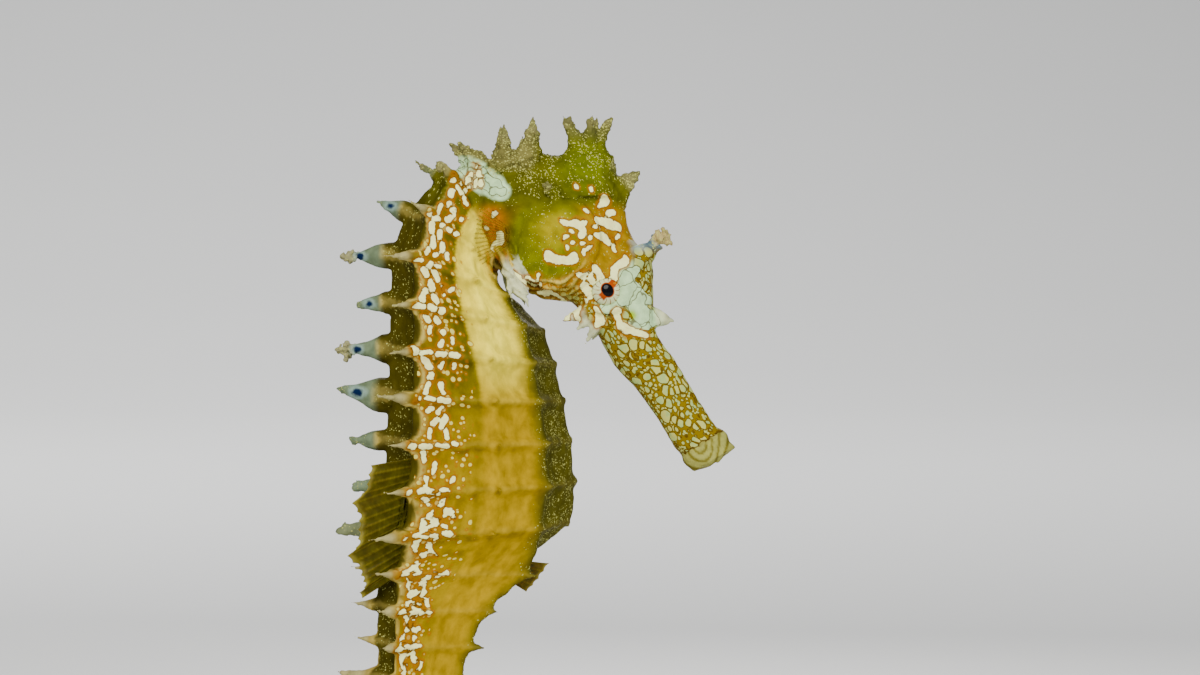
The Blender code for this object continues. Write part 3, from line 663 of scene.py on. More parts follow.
def dress(piece: bpy.types.Object, material: bpy.types.Material, slot: str, *nodes: str,
          holder: Array = HOLDER) -> None:
    """Moves a finished mesh into the frame, gives it its one material and reports it.

    Args:
        piece: the piece, still in millimetres.
        material: its material.
        slot: the record's slot that it belongs to.
        nodes: the solids that it replaces.
        holder: where its own frame stands.
    """
    set_coordinates(piece.data, (coordinates(piece.data) + holder) * MM)
    piece.data.materials.clear()
    piece.data.materials.append(material)
    piece.data.shade_smooth()
    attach(piece, "root")
    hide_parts(*nodes)
    LOG.info("%s: %d faces, slot %s", piece.name, len(piece.data.polygons), slot)


def remove(obj: bpy.types.Object) -> None:
    """Takes a helper object and its mesh out of the file."""
    mesh = obj.data
    bpy.data.objects.remove(obj)
    bpy.data.meshes.remove(mesh)


# Forms of the head


@dataclass
class Head:
    """The head's own forms, set as if it weren't turned."""

    body: Body
    eye: Point = (12.75, 2.05, 94.45)
    eye_radius: float = 1.45
    eye_look: Pair = (0.12, 0.05)
    lid_radius: float = 1.72
    lid_thickness: float = 0.42
    lid_out: float = 2.62
    lid_flat: float = 0.9
    brow: Thorn = Thorn((12.8, 0.0, 102.9), (0.78, 0.0, 0.62), 3.6, 1.05, Growth.GRAINY, 1.35, cone=0.95)
    nape: Thorn = Thorn((4.9, 0.3, 106.0), (0.02, 0.10, 1.0), 2.5, 0.55, Growth.GRAINY, cone=0.8)
    nose: Thorn = Thorn((16.1, 0.0, 92.1), (0.985, 0.0, -0.17), 2.7, 0.75, Growth.WHITE, 1.30, cone=0.95)
    eye_thorn: Thorn = Thorn((15.2, 1.6, 97.1), (0.74, 0.30, 0.62), 3.2, 1.05, Growth.TUFTED, cone=0.75)
    paired: tuple[Thorn, ...] = (
        Thorn((10.9, 2.0, 92.6), (-0.86, 0.45, -0.35), 2.7, 0.72, Growth.WHITE, cone=0.55),
        Thorn((11.9, 1.7, 91.4), (-0.45, 0.40, -0.72), 2.2, 0.62, Growth.WHITE, cone=0.45),
        Thorn((11.2, 1.9, 91.9), (-0.70, 0.42, -0.58), 1.9, 0.50, Growth.WHITE, cone=0.45),
        Thorn((8.0, 3.2, 103.2), (-0.35, 0.88, 0.40), 1.8, 0.60, Growth.GRAINY),
    )
    shoulder: tuple[Thorn, ...] = (
        Thorn((3.5, 3.0, 97.6), (0.35, 0.30, -0.86), 5.7, 1.05, Growth.WHITE, flat=0.65),
        Thorn((3.4, 3.1, 97.2), (0.10, 0.46, -0.84), 4.6, 0.75, Growth.WHITE, flat=0.65),
    )
    shoulder_plate: Point = (4.25, 4.05, 95.7)
    plate_radii: Radii = (0.85, 0.55, 2.3)
    plate_tilt: float = math.radians(-20.0)
    lip_bulges: tuple[tuple[Point, Radii], ...] = (
        ((21.90, 0.0, 79.62), (2.02, 1.60, 0.80)),
        ((20.35, 0.0, 79.75), (1.15, 1.30, 1.10)),
        ((22.45, 0.0, 81.05), (1.05, 1.30, 1.15)))
    gill_centre: Point = (8.6, 3.35, 98.6)
    gill_radii: Radii = (3.6, 1.25, 4.2)
    gill_tilt: float = math.radians(28.0)
    nostril: Point = (15.3, 1.75, 92.4)
    nostril_radius: float = 0.34
    snout_dip: float = math.radians(30.0)
    mouth: Point = (22.6, 0.0, 79.7)
    mouth_radii: Radii = (0.28, 1.05, 1.45)
    mouth_tilt: float = math.radians(31.0)
    crown_foot: Point = (10.7, 0.0, 104.2)
    crown_flutes: float = 0.07
    crown_rings: tuple[Pair, ...] = (
        (3.3, -1.4), (2.75, 0.4), (2.6, 1.3), (2.4, 2.1), (1.95, 2.6), (1.65, 3.05), (1.5, 3.5), (1.5, 3.8),
        (1.2, 4.0), (0.6, 4.0))
    prong_count: int = 5
    prong: Pair = (2.6, 0.58)
    prong_cone: float = 0.75
    prong_splay: float = math.radians(32.0)
    rim_radius: float = 1.15
    rim_height: float = 3.75

    def thorns(self) -> list[Thorn]:
        """All the head's and the shoulders' spines.

        Returns:
            The spines in the animal's frame.
        """
        turn = self.body.head_turn
        made = [self.aimed(thorn, 1, turn) for thorn in (self.brow, self.nose, self.nape)]
        for side in SIDES:
            made += [self.aimed(thorn, side, turn) for thorn in (self.eye_thorn, *self.paired)]
            made += [self.aimed(thorn, side, self.body.shoulder_turn) for thorn in self.shoulder]
        return made + self.prongs()

    def aimed(self, thorn: Thorn, side: int, turn: float) -> Thorn:
        """Sets a spine on one side, with the neck's turn there.

        Args:
            thorn: the left side's spine, unturned.
            side: 1 for the left and -1 for the right.
            turn: the neck's turn.

        Returns:
            The spine in the animal's frame.
        """
        mirror = np.array((1.0, side, 1.0))
        root = self.body.turned(mirror * thorn.root, turn)
        return replace(thorn, root=root, way=unit(self.body.rotated(mirror * thorn.way, turn)))

    def prongs(self) -> list[Thorn]:
        """The coronet's splayed spines.

        Returns:
            One spine for each point of the coronet.
        """
        made = []
        for n in range(self.prong_count):
            angle = 2 * math.pi * n / self.prong_count
            out = np.array((math.cos(angle), math.sin(angle), 0.0))
            root = np.array(self.crown_foot) + out * self.rim_radius + (0.0, 0.0, self.rim_height)
            way = out * math.sin(self.prong_splay) + (0.0, 0.0, math.cos(self.prong_splay))
            prong = Thorn(root, way, *self.prong, Growth.GRAINY, cone=self.prong_cone)
            made.append(self.aimed(prong, 1, self.body.head_turn))
        return made

    def eye_way(self, side: int) -> Array:
        """The direction that an eye looks in."""
        forward, up = self.eye_look
        return unit(self.body.rotated(np.array((forward, side, up)), self.body.head_turn))

    def lid(self, side: int) -> Place:
        """The thick ring of skin round an eye.

        Args:
            side: 1 for the left and -1 for the right.

        Returns:
            Points for shares round the eye and turns round the lid.
        """

        def place(share: Array, turn: Array) -> Array:
            """The points of the lid."""
            a, b = 2 * math.pi * share, 2 * math.pi * turn
            reach = self.lid_radius + self.lid_thickness * np.cos(b)
            x, z = self.eye[0] + reach * np.cos(a), self.eye[2] + reach * np.sin(a)
            y = side * (self.lid_out + self.lid_thickness * self.lid_flat * np.sin(b))
            return self.body.turned(np.stack([x, y, z], axis=1), self.body.head_turn)

        return place

    def crown(self) -> Place:
        """The column that carries the coronet, with a waist and a flared rim.

        Returns:
            Points for shares up the column and turns round it.
        """
        radii, heights = np.array(self.crown_rings).T

        def place(share: Array, turn: Array) -> Array:
            """The points of the column."""
            step = share * (len(radii) - 1)
            a = 2 * math.pi * turn
            flute = 1.0 + self.crown_flutes * np.cos(self.prong_count * a) * share
            reach = np.interp(step, range(len(radii)), radii) * flute
            up = self.crown_foot[2] + np.interp(step, range(len(heights)), heights)
            points = np.stack([self.crown_foot[0] + reach * np.cos(a), reach * np.sin(a), up], axis=1)
            return self.body.turned(points, self.body.head_turn)

        return place


# The skin


@dataclass
class SkinShape:
    """Builds the skin: the body's tube, all spines and the head's forms, fused into one surface."""

    body: Body
    head: Head
    thorns: list[Thorn]
    steps_per_cut: int = 11
    around: int = 96
    spine_faces: tuple[int, int] = (12, 12)
    prong_faces: tuple[int, int] = (6, 6)
    crown_faces: tuple[int, int] = (36, 40)
    lid_faces: tuple[int, int] = (40, 16)
    sink: float = 1.0
    slender: float = 0.62
    taper: float = 0.62
    foot: float = 0.58
    foot_reach: float = 0.17
    tip_radius: float = 0.02
    prong_counts: tuple[int, int] = (2, 4)
    prong_lengths: Range = (0.45, 0.8)
    prong_radii: Range = (0.22, 0.34)
    tuft_balls: int = 9
    tuft_spread: float = 0.33
    tuft_radii: Range = (0.24, 0.42)
    socket_gap: float = 0.06
    voxel: float = 0.17
    triangles: int = 194_000
    lips_below: float = 81.4
    lip_waves: float = 0.14
    unevenness: float = 0.05
    fold_depth: float = 0.11
    lumps: float = 0.40
    specks: float = 0.14
    fine_above: float = 78.0
    fine_way: Point = (-0.37, -0.93, 0.0)
    chance: random.Random = field(default_factory=lambda: random.Random(SEED + 1))

    def body_place(self, share: Array, turn: Array) -> Array:
        """The tube's points for shares along it and turns round it."""
        row, side = row_and_side(16.0 * turn)
        return self.body.skin(LIPS + (self.body.tip - LIPS) * share, row, side)

    def spine_place(self, thorn: Thorn) -> Place:
        """A spine with a broad foot, a waist and a blunt tip.

        Args:
            thorn: the spine.

        Returns:
            Points for shares from the sunken foot to the tip and turns round it.
        """
        axis = unit(np.asarray(thorn.way, float))
        u = unit(np.cross(axis, (0.0, 0.0, 1.0) if abs(axis[2]) < 0.9 else (1.0, 0.0, 0.0)))
        v = np.cross(axis, u)
        sink = min(self.sink, thorn.radius * 1.6)
        seed = Vector(thorn.root) * 0.37
        cone = min(thorn.cone, 1.0)

        def place(share: Array, turn: Array) -> Array:
            """The points of the spine."""
            up = -sink + (thorn.length + sink) * share
            s = np.clip(up / thorn.length, 0.0, 1.0)
            slender = self.slender * (1.0 - 0.5 * cone) * (1.0 - s) ** self.taper * (1.0 - 0.15 * s)
            foot = self.foot * (1.0 - cone) * np.exp(-s / self.foot_reach)
            radius = thorn.radius * (slender + foot + thorn.cone * (1.0 - s)) + self.tip_radius
            a = 2 * math.pi * turn
            wave = 1.0 + 0.10 * np.sin(3 * a + seed.x) + 0.08 * np.sin(9 * s + seed.z)
            side = np.where(share >= 1.0, 0.0, radius) * wave
            ring = side[:, None] * (np.cos(a)[:, None] * u + thorn.flat * np.sin(a)[:, None] * v)
            bend = thorn.bend * thorn.length * s ** 2
            return np.asarray(thorn.root) + up[:, None] * axis + ring - bend[:, None] * np.array((0, 0, 1.0))

        return place

    def prongs(self, thorn: Thorn) -> list[Thorn]:
        """The short side prongs of a long spine.

        Args:
            thorn: the spine that they stand on.

        Returns:
            None, or from two to four small spines.
        """
        near = thorn.growth is Growth.PLAIN and thorn.root[1] < 0 < thorn.root[0] + 20.0
        least, top = (1.8, 0.65) if thorn.growth is Growth.GRAINY else (2.4, 0.90)
        if thorn.length < least or thorn.growth is Growth.WHITE or near:
            return []
        made = []
        for _ in range(self.chance.randint(*self.prong_counts)):
            share = self.chance.uniform(0.30, top)
            way = unit(np.array([self.chance.gauss(0, 1) for _ in range(3)]))
            way = unit(way - np.dot(way, thorn.way) * np.asarray(thorn.way) * 0.6)
            length, radius = self.chance.uniform(*self.prong_lengths), self.chance.uniform(*self.prong_radii)
            made.append(Thorn(thorn.at(share), way, length, radius))
        return made

    def rough(self) -> bpy.types.Object:
        """Heaps up all the closed forms.

        Returns:
            The unfused forms as one object.
        """
        forms, body, head = Forms(), self.body, self.head
        forms.sleeve((body.tip - LIPS) * self.steps_per_cut, self.around, self.body_place)
        for thorn in self.thorns:
            forms.sleeve(*self.spine_faces, self.spine_place(thorn))
            for prong in self.prongs(thorn):
                forms.sleeve(*self.prong_faces, self.spine_place(prong))
            if thorn.growth is Growth.TUFTED:
                for _ in range(self.tuft_balls):
                    off = np.array([self.chance.gauss(0, self.tuft_spread) for _ in range(3)])
                    forms.ball(thorn.at(1.0) + off, self.chance.uniform(*self.tuft_radii))
        forms.sleeve(*self.crown_faces, head.crown())
        for centre, radii in head.lip_bulges:
            forms.ball(body.head_point(centre), 1.0, radii, leaning(body.head_turn, -head.snout_dip))
        for side in SIDES:
            plate = body.turned(np.array((1.0, side, 1.0)) * head.shoulder_plate, body.shoulder_turn)
            forms.ball(plate, 1.0, head.plate_radii, leaning(body.shoulder_turn, head.plate_tilt))
            forms.sleeve(*self.lid_faces, head.lid(side))
            gill = body.head_point(head.gill_centre, side)
            forms.ball(gill, 1.0, head.gill_radii, leaning(body.head_turn, head.gill_tilt))
        return forms.to_object("skin")

    def hollows(self) -> bpy.types.Object:
        """The eye sockets, the nostrils and the slit of the mouth.

        Returns:
            Closed forms as one object.
        """
        forms, body, head = Forms(), self.body, self.head
        for side in SIDES:
            forms.ball(body.head_point(head.eye, side), head.eye_radius + self.socket_gap)
            forms.ball(body.head_point(head.nostril, side), head.nostril_radius)
        turn = leaning(body.head_turn, head.mouth_tilt)
        forms.ball(body.head_point(head.mouth), 1.0, head.mouth_radii, turn)
        return forms.to_object("hollows")

    def fused(self) -> bpy.types.Object:
        """Fuses the forms into one closed surface, carves its hollows and thins its far side.

        Returns:
            The skin, still in millimetres.
        """
        skin = self.rough()
        remesh = skin.modifiers.new("fuse", "REMESH")
        remesh.mode, remesh.voxel_size = "VOXEL", self.voxel
        soften = skin.modifiers.new("soften", "SMOOTH")
        soften.factor, soften.iterations = 0.5, 2
        settle(skin)
        carve = skin.modifiers.new("carve", "BOOLEAN")
        carve.operation, carve.solver, carve.object = "DIFFERENCE", "MANIFOLD", self.hollows()
        hollows = carve.object
        settle(skin)
        remove(hollows)
        self.roughen(skin.data)
        seen = vectors(skin.data, "normal") @ self.fine_way > 0.3
        fine = (coordinates(skin.data)[:, 2] > self.fine_above) & seen
        skin.vertex_groups.new(name="fine").add(np.flatnonzero(fine).tolist(), 1.0, "REPLACE")
        thin = skin.modifiers.new("thin", "DECIMATE")
        thin.vertex_group, thin.invert_vertex_group = "fine", True
        faces = sum(len(face.vertices) - 2 for face in skin.data.polygons)
        thin.ratio = min(1.0, self.triangles / faces)
        settle(skin)
        skin.vertex_groups.clear()
        LOG.info("skin: %d triangles, thinned to %d", faces, len(skin.data.polygons))
        return skin

    def roughen(self, mesh: bpy.types.Mesh) -> None:
        """Gives the crown and the spines' tips their crust, and all the skin a faint unevenness.

        Args:
            mesh: the fused skin.
        """
        points, ways = coordinates(mesh), vectors(mesh, "normal")
        crust = crust_share(self.thorns, points)
        offset = self.fold_depth * throat_folds(self.body, points)
        for n, point in enumerate(points):
            place = Vector(point)
            fine = noise.noise(place * 1.1) * self.unevenness + offset[n]
            if crust[n] > 0.02:
                lump = 0.44 - noise.voronoi(place * 2.1)[0][0]
                fine += crust[n] * (self.lumps * lump + self.specks * noise.noise(place * 4.1))
            if point[2] < self.lips_below:
                fine += self.lip_waves * noise.noise(place * 0.9)
            offset[n] = fine
        set_coordinates(mesh, points + ways * offset[:, None])


def leaning(turn: float, tilt: float) -> Matrix:
    """The turn of a form that leans in the plane of the head or the shoulders."""
    return Matrix.Rotation(turn, 3, "Z") @ Matrix.Rotation(tilt, 3, "Y")


def thorn_share(thorn: Thorn, points: Array, reach: float = 1.5) -> tuple[Array, Array]:
    """How far up a spine points lie.

    Args:
        thorn: the spine.
        points: the points to ask for.
        reach: how many root radii from its axis still belong to it.

    Returns:
        The numbers of the points that belong to it, and their shares of its length.
    """
    way = unit(np.asarray(thorn.way, float))
    off = points - thorn.root
    up = off @ way
    away = np.linalg.norm(off - up[:, None] * way, axis=1)
    wide = thorn.radius * reach * max(1.0, thorn.flat) + 0.25
    near = np.flatnonzero((up > 0) & (up < thorn.length * 1.4 + 0.6) & (away < wide))
    return near, np.clip(up[near] / thorn.length, 0.0, 1.3)


def crust_share(thorns: Sequence[Thorn], points: Array) -> Array:
    """How thickly pale grains crust each point: on the crown, the nape and the spines' tips.

    Args:
        thorns: all the spines.
        points: the points to ask for.

    Returns:
        A share for each point, above 1 on the tufts.
    """
    forward, _, up = points.T
    crust = 0.62 * smooth_step(up, 100.5, 106.5) * smooth_step(forward, -7.0, -1.0)
    crust += 0.36 * smooth_step(up, 103.0, 105.5) * smooth_step(forward, 7.0, 4.0)
    for thorn in thorns:
        near, share = thorn_share(thorn, points)
        if thorn.growth is Growth.TUFTED:
            crust[near] = np.maximum(crust[near], smooth_step(share, 0.62, 0.85) * 1.4)
        elif thorn.growth is Growth.GRAINY:
            crust[near] = np.maximum(crust[near], 0.55 + 0.40 * smooth_step(share, 0.2, 0.6))
            crust[near] *= 1.0 - 0.5 * smooth_step(share, 0.65, 0.95)
        elif thorn.growth is Growth.BANDED:
            crust[near] = np.maximum(crust[near], 0.8 * smooth_step(share, 0.6, 0.95))
        elif thorn.length > 2.0 and thorn.flat >= 1.0:
            crust[near] = np.maximum(crust[near], 0.5 * smooth_step(share, 0.1, 0.8))
    return crust


def dome_distance(p: Array, z: Array) -> Array:
    """How far places of the head's side are from the middle of the gill cover: 1 at its rim."""
    return np.hypot((p - 7.7) / 3.7, (z - 98.8) / np.where(z < 98.8, 3.4, 4.4))


def throat_folds(body: Body, points: Array) -> Array:
    """Waves that run along the lower rim of the gill cover.

    Args:
        body: the body's line.
        points: the points to ask for.

    Returns:
        Heights from -1 to 1.
    """
    p, _, z = body.unturned(points).T
    away = dome_distance(p, z)
    where = smooth_step(away, 0.97, 1.03) * smooth_step(away, 1.75, 1.50) * smooth_step(z, 99.0, 97.0)
    where = where * smooth_step(p, 11.6, 10.2) * smooth_step(z, 91.0, 92.0)
    wander = 0.05 * np.sin(1.9 * p) + 0.03 * np.sin(3.3 * z)
    return where * np.cos(2 * math.pi * (away + wander - 1.06) / 0.17)


# Places on the finished skin


@dataclass
class Fields:
    """What each of the skin's vertices knows of its place on the body."""

    t: Array
    row: Array
    side: Array
    lift: Array
    body: Array
    flat: Array

    @classmethod
    def of(cls, body: Body, points: Array, steps: int = 10, around: int = 64) -> Fields:
        """Finds the nearest place of the bare skin for each point.

        Args:
            body: the body's line.
            points: the points to place.
            steps: samples for each cut.
            around: samples round the body.

        Returns:
            The points' fields.
        """
        ts = np.linspace(LIPS, body.tip, (body.tip - LIPS) * steps + 1)
        turns = np.linspace(0.0, 16.0, around + 1)
        grid_t, grid_turn = np.meshgrid(ts, turns, indexing="ij")
        bare = body.skin(grid_t.ravel(), *row_and_side(grid_turn.ravel()))
        wide = around + 1
        quads = [(i * wide + j, (i + 1) * wide + j, (i + 1) * wide + j + 1, i * wide + j + 1)
                 for i in range(len(ts) - 1) for j in range(around)]
        tree = BVHTree.FromPolygons(bare.tolist(), quads)
        found = [tree.find_nearest(Vector(point)) for point in points]
        place, quad, lift = (np.array([hit[k] for hit in found]) for k in (0, 2, 3))
        i, j = quad // around, quad % around
        corner = i * wide + j

        def share(far: Array) -> Array:
            """How far a place is from its quad's first corner to another one."""
            edge = bare[far] - bare[corner]
            size = np.maximum((edge * edge).sum(1), 1e-12)
            return np.clip(((place - bare[corner]) * edge).sum(1) / size, 0.0, 1.0)

        t = ts[i] + share(corner + wide) * (ts[1] - ts[0])
        turn = turns[j] + share(corner + 1) * (turns[1] - turns[0])
        along, up = body.along(t), body.up(t)
        off = points - body.middle(t)
        straight = np.stack([(off * way).sum(1) for way in (along, np.cross(up, along), up)], axis=1)
        straight[:, 0] += body.length(t)
        return cls(t, *row_and_side(turn), lift, straight, body.unturned(points))


def add_field(mesh: bpy.types.Mesh, name: str, values: Array) -> None:
    """Stores a number, a vector or a linear colour for each of a mesh's vertices.

    Args:
        mesh: the mesh.
        name: the field's name.
        values: one value for each vertex, or a row of three or four.
    """
    wide = 1 if values.ndim == 1 else values.shape[1]
    kind, key = {1: ("FLOAT", "value"), 3: ("FLOAT_VECTOR", "vector"), 4: ("FLOAT_COLOR", "color")}[wide]
    made = mesh.attributes.new(name, kind, "POINT")
    made.data.foreach_set(key, values.astype(np.float32).ravel())


def to_segment(points: Array, start: Array, end: Array) -> Array:
    """How far points are from a segment.

    Args:
        points: the points.
        start: one end of the segment.
        end: its other end.

    Returns:
        A distance for each point.
    """
    start, end = np.asarray(start, float), np.asarray(end, float)
    edge = end - start
    share = np.clip(((points - start) @ edge) / max(edge @ edge, 1e-9), 0.0, 1.0)
    return np.linalg.norm(points - start - share[:, None] * edge, axis=1)


# Markings


@dataclass(frozen=True)
class Stroke:
    """A mark of the head: the places (forward, up) that it runs through, and its half width."""

    places: tuple[Pair, ...]
    half_width: float

    def distance(self, flat: Array) -> Array:
        """How far places of the head's side are from the mark's edge."""
        pairs = zip(self.places, self.places[1:] or self.places)
        return np.min([to_segment(flat, a, b) for a, b in pairs], axis=0) - self.half_width


WHITE_STROKES = (
    Stroke(((13.2, 95.6), (14.4, 97.4)), 0.40),
    Stroke(((11.7, 96.5), (12.35, 95.3)), 0.36),
    Stroke(((10.9, 94.9), (11.6, 94.2)), 0.55),
    Stroke(((11.5, 95.4), (11.85, 94.2)), 0.48),
    Stroke(((10.5, 95.95), (11.1, 95.75)), 0.30),
    Stroke(((7.85, 97.45), (8.6, 97.1), (9.95, 97.35)), 0.45),
    Stroke(((10.95, 97.65), (11.3, 98.4)), 0.22),
    Stroke(((9.1, 100.45), (9.95, 100.55), (10.8, 100.2), (11.0, 99.65), (10.5, 99.4)), 0.30),
    Stroke(((12.0, 100.8), (13.8, 99.95)), 0.40),
    Stroke(((12.4, 99.25), (13.05, 98.85)), 0.46),
    Stroke(((13.5, 99.2), (13.4, 98.05)), 0.24),
    Stroke(((13.05, 101.25),), 0.38),
    Stroke(((12.3, 102.1), (12.7, 102.6)), 0.42),
    Stroke(((11.9, 92.8), (12.15, 91.45)), 0.40),
    Stroke(((13.75, 92.5), (13.9, 91.45), (14.7, 90.75), (16.1, 90.6)), 0.36),
    Stroke(((9.2, 92.0), (9.5, 92.7)), 0.38),
    Stroke(((10.15, 92.9), (10.3, 92.0)), 0.28),
    Stroke(((11.05, 93.45),), 0.28),
)
WHITE_DOTS = ((9.65, 99.75), (9.35, 99.1), (10.05, 98.6), (9.5, 98.3), (10.7, 98.8), (11.4, 99.1),
              (11.8, 100.1), (11.1, 101.55), (11.5, 103.3), (10.0, 103.8), (2.8, 101.2), (2.15, 99.95))
DOT_RADIUS = 0.26
FACE_PATCH = (
    Stroke(((12.95, 93.1), (14.2, 93.85)), 0.60),
    Stroke(((14.2, 94.4), (14.8, 95.6), (15.1, 96.2)), 0.50),
    Stroke(((14.6, 94.7), (15.5, 93.5)), 1.05),
    Stroke(((15.3, 93.7), (15.8, 92.5), (16.4, 91.9)), 0.80),
    Stroke(((15.2, 91.5), (16.8, 91.7)), 0.50),
)
THROAT_LINES = (
    Stroke(((6.8, 94.4), (8.15, 93.9), (9.2, 93.1)), 0.20),
    Stroke(((5.6, 95.8), (6.5, 95.2), (7.1, 95.8)), 0.18),
    Stroke(((4.5, 96.1), (5.6, 95.3), (6.8, 94.9)), 0.20),
    Stroke(((3.0, 98.0), (3.3, 99.5)), 0.38),
)


@dataclass(frozen=True)
class Hues:
    """The skin's colours, as linear red, green and blue."""

    golden: Colour = (0.295, 0.186, 0.0)
    # cream: a painted highlight along the middle of the flank's golden band
    cream: Colour = (0.80, 0.66, 0.04)
    flank: Colour = (0.092, 0.074, 0.0)
    low_flank: Colour = (0.225, 0.148, 0.0)
    net: Colour = (0.175, 0.092, 0.0)
    crown: Colour = (0.068, 0.068, 0.0)
    crown_light: Colour = (0.100, 0.128, 0.0)
    cheek: Colour = (0.112, 0.122, 0.0)
    cheek_bright: Colour = (0.240, 0.195, 0.0)
    orange: Colour = (0.30, 0.17, 0.0)
    gill: Colour = (0.40, 0.12, 0.0)
    back: Colour = (0.044, 0.036, 0.002)
    # belly: the belly's own dark olive, darkened further as painted shade on the underside
    belly: Colour = (0.062, 0.056, 0.004)
    rim: Colour = (0.40, 0.31, 0.07)
    snout: Colour = (0.20, 0.105, 0.003)
    lips: Colour = (0.285, 0.280, 0.065)
    lip_shade: Colour = (0.110, 0.088, 0.004)
    near_spine: Colour = (0.31, 0.27, 0.11)
    far_spine: Colour = (0.120, 0.160, 0.090)
    crust: Colour = (0.34, 0.29, 0.14)
    spine_tip: Colour = (0.125, 0.120, 0.042)
    # The throat folds' orange, with a painted highlight on each crest and painted shade in each cleft
    fold_crest_highlight: Colour = (0.62, 0.44, 0.07)
    cleft_shade: Colour = (0.40, 0.14, 0.0)
    patch: Colour = (0.42, 0.60, 0.31)
    white: Colour = (0.46, 0.50, 0.30)
    blue_white: Colour = (0.30, 0.42, 0.42)
    blue: Colour = (0.030, 0.085, 0.140)
    tan: Colour = (0.36, 0.24, 0.05)
    lime: Colour = (0.33, 0.50, 0.01)


def blend(ground: Array, *layers: tuple[Colour, Array]) -> Array:
    """Lays colours over the ground in turn.

    Args:
        ground: a linear colour for each vertex.
        layers: each colour, and its share for each vertex.

    Returns:
        The new colours.
    """
    for colour, share in layers:
        ground = ground + (np.array(colour) - ground) * np.clip(share, 0.0, 1.0)[:, None]
    return ground


@dataclass(frozen=True)
class Bars:
    """How likely a white bar of the flank is, and the limits that its sizes are drawn between."""

    likely: float
    row: Range
    half_length: Range
    slant: Range
    half_width: Range


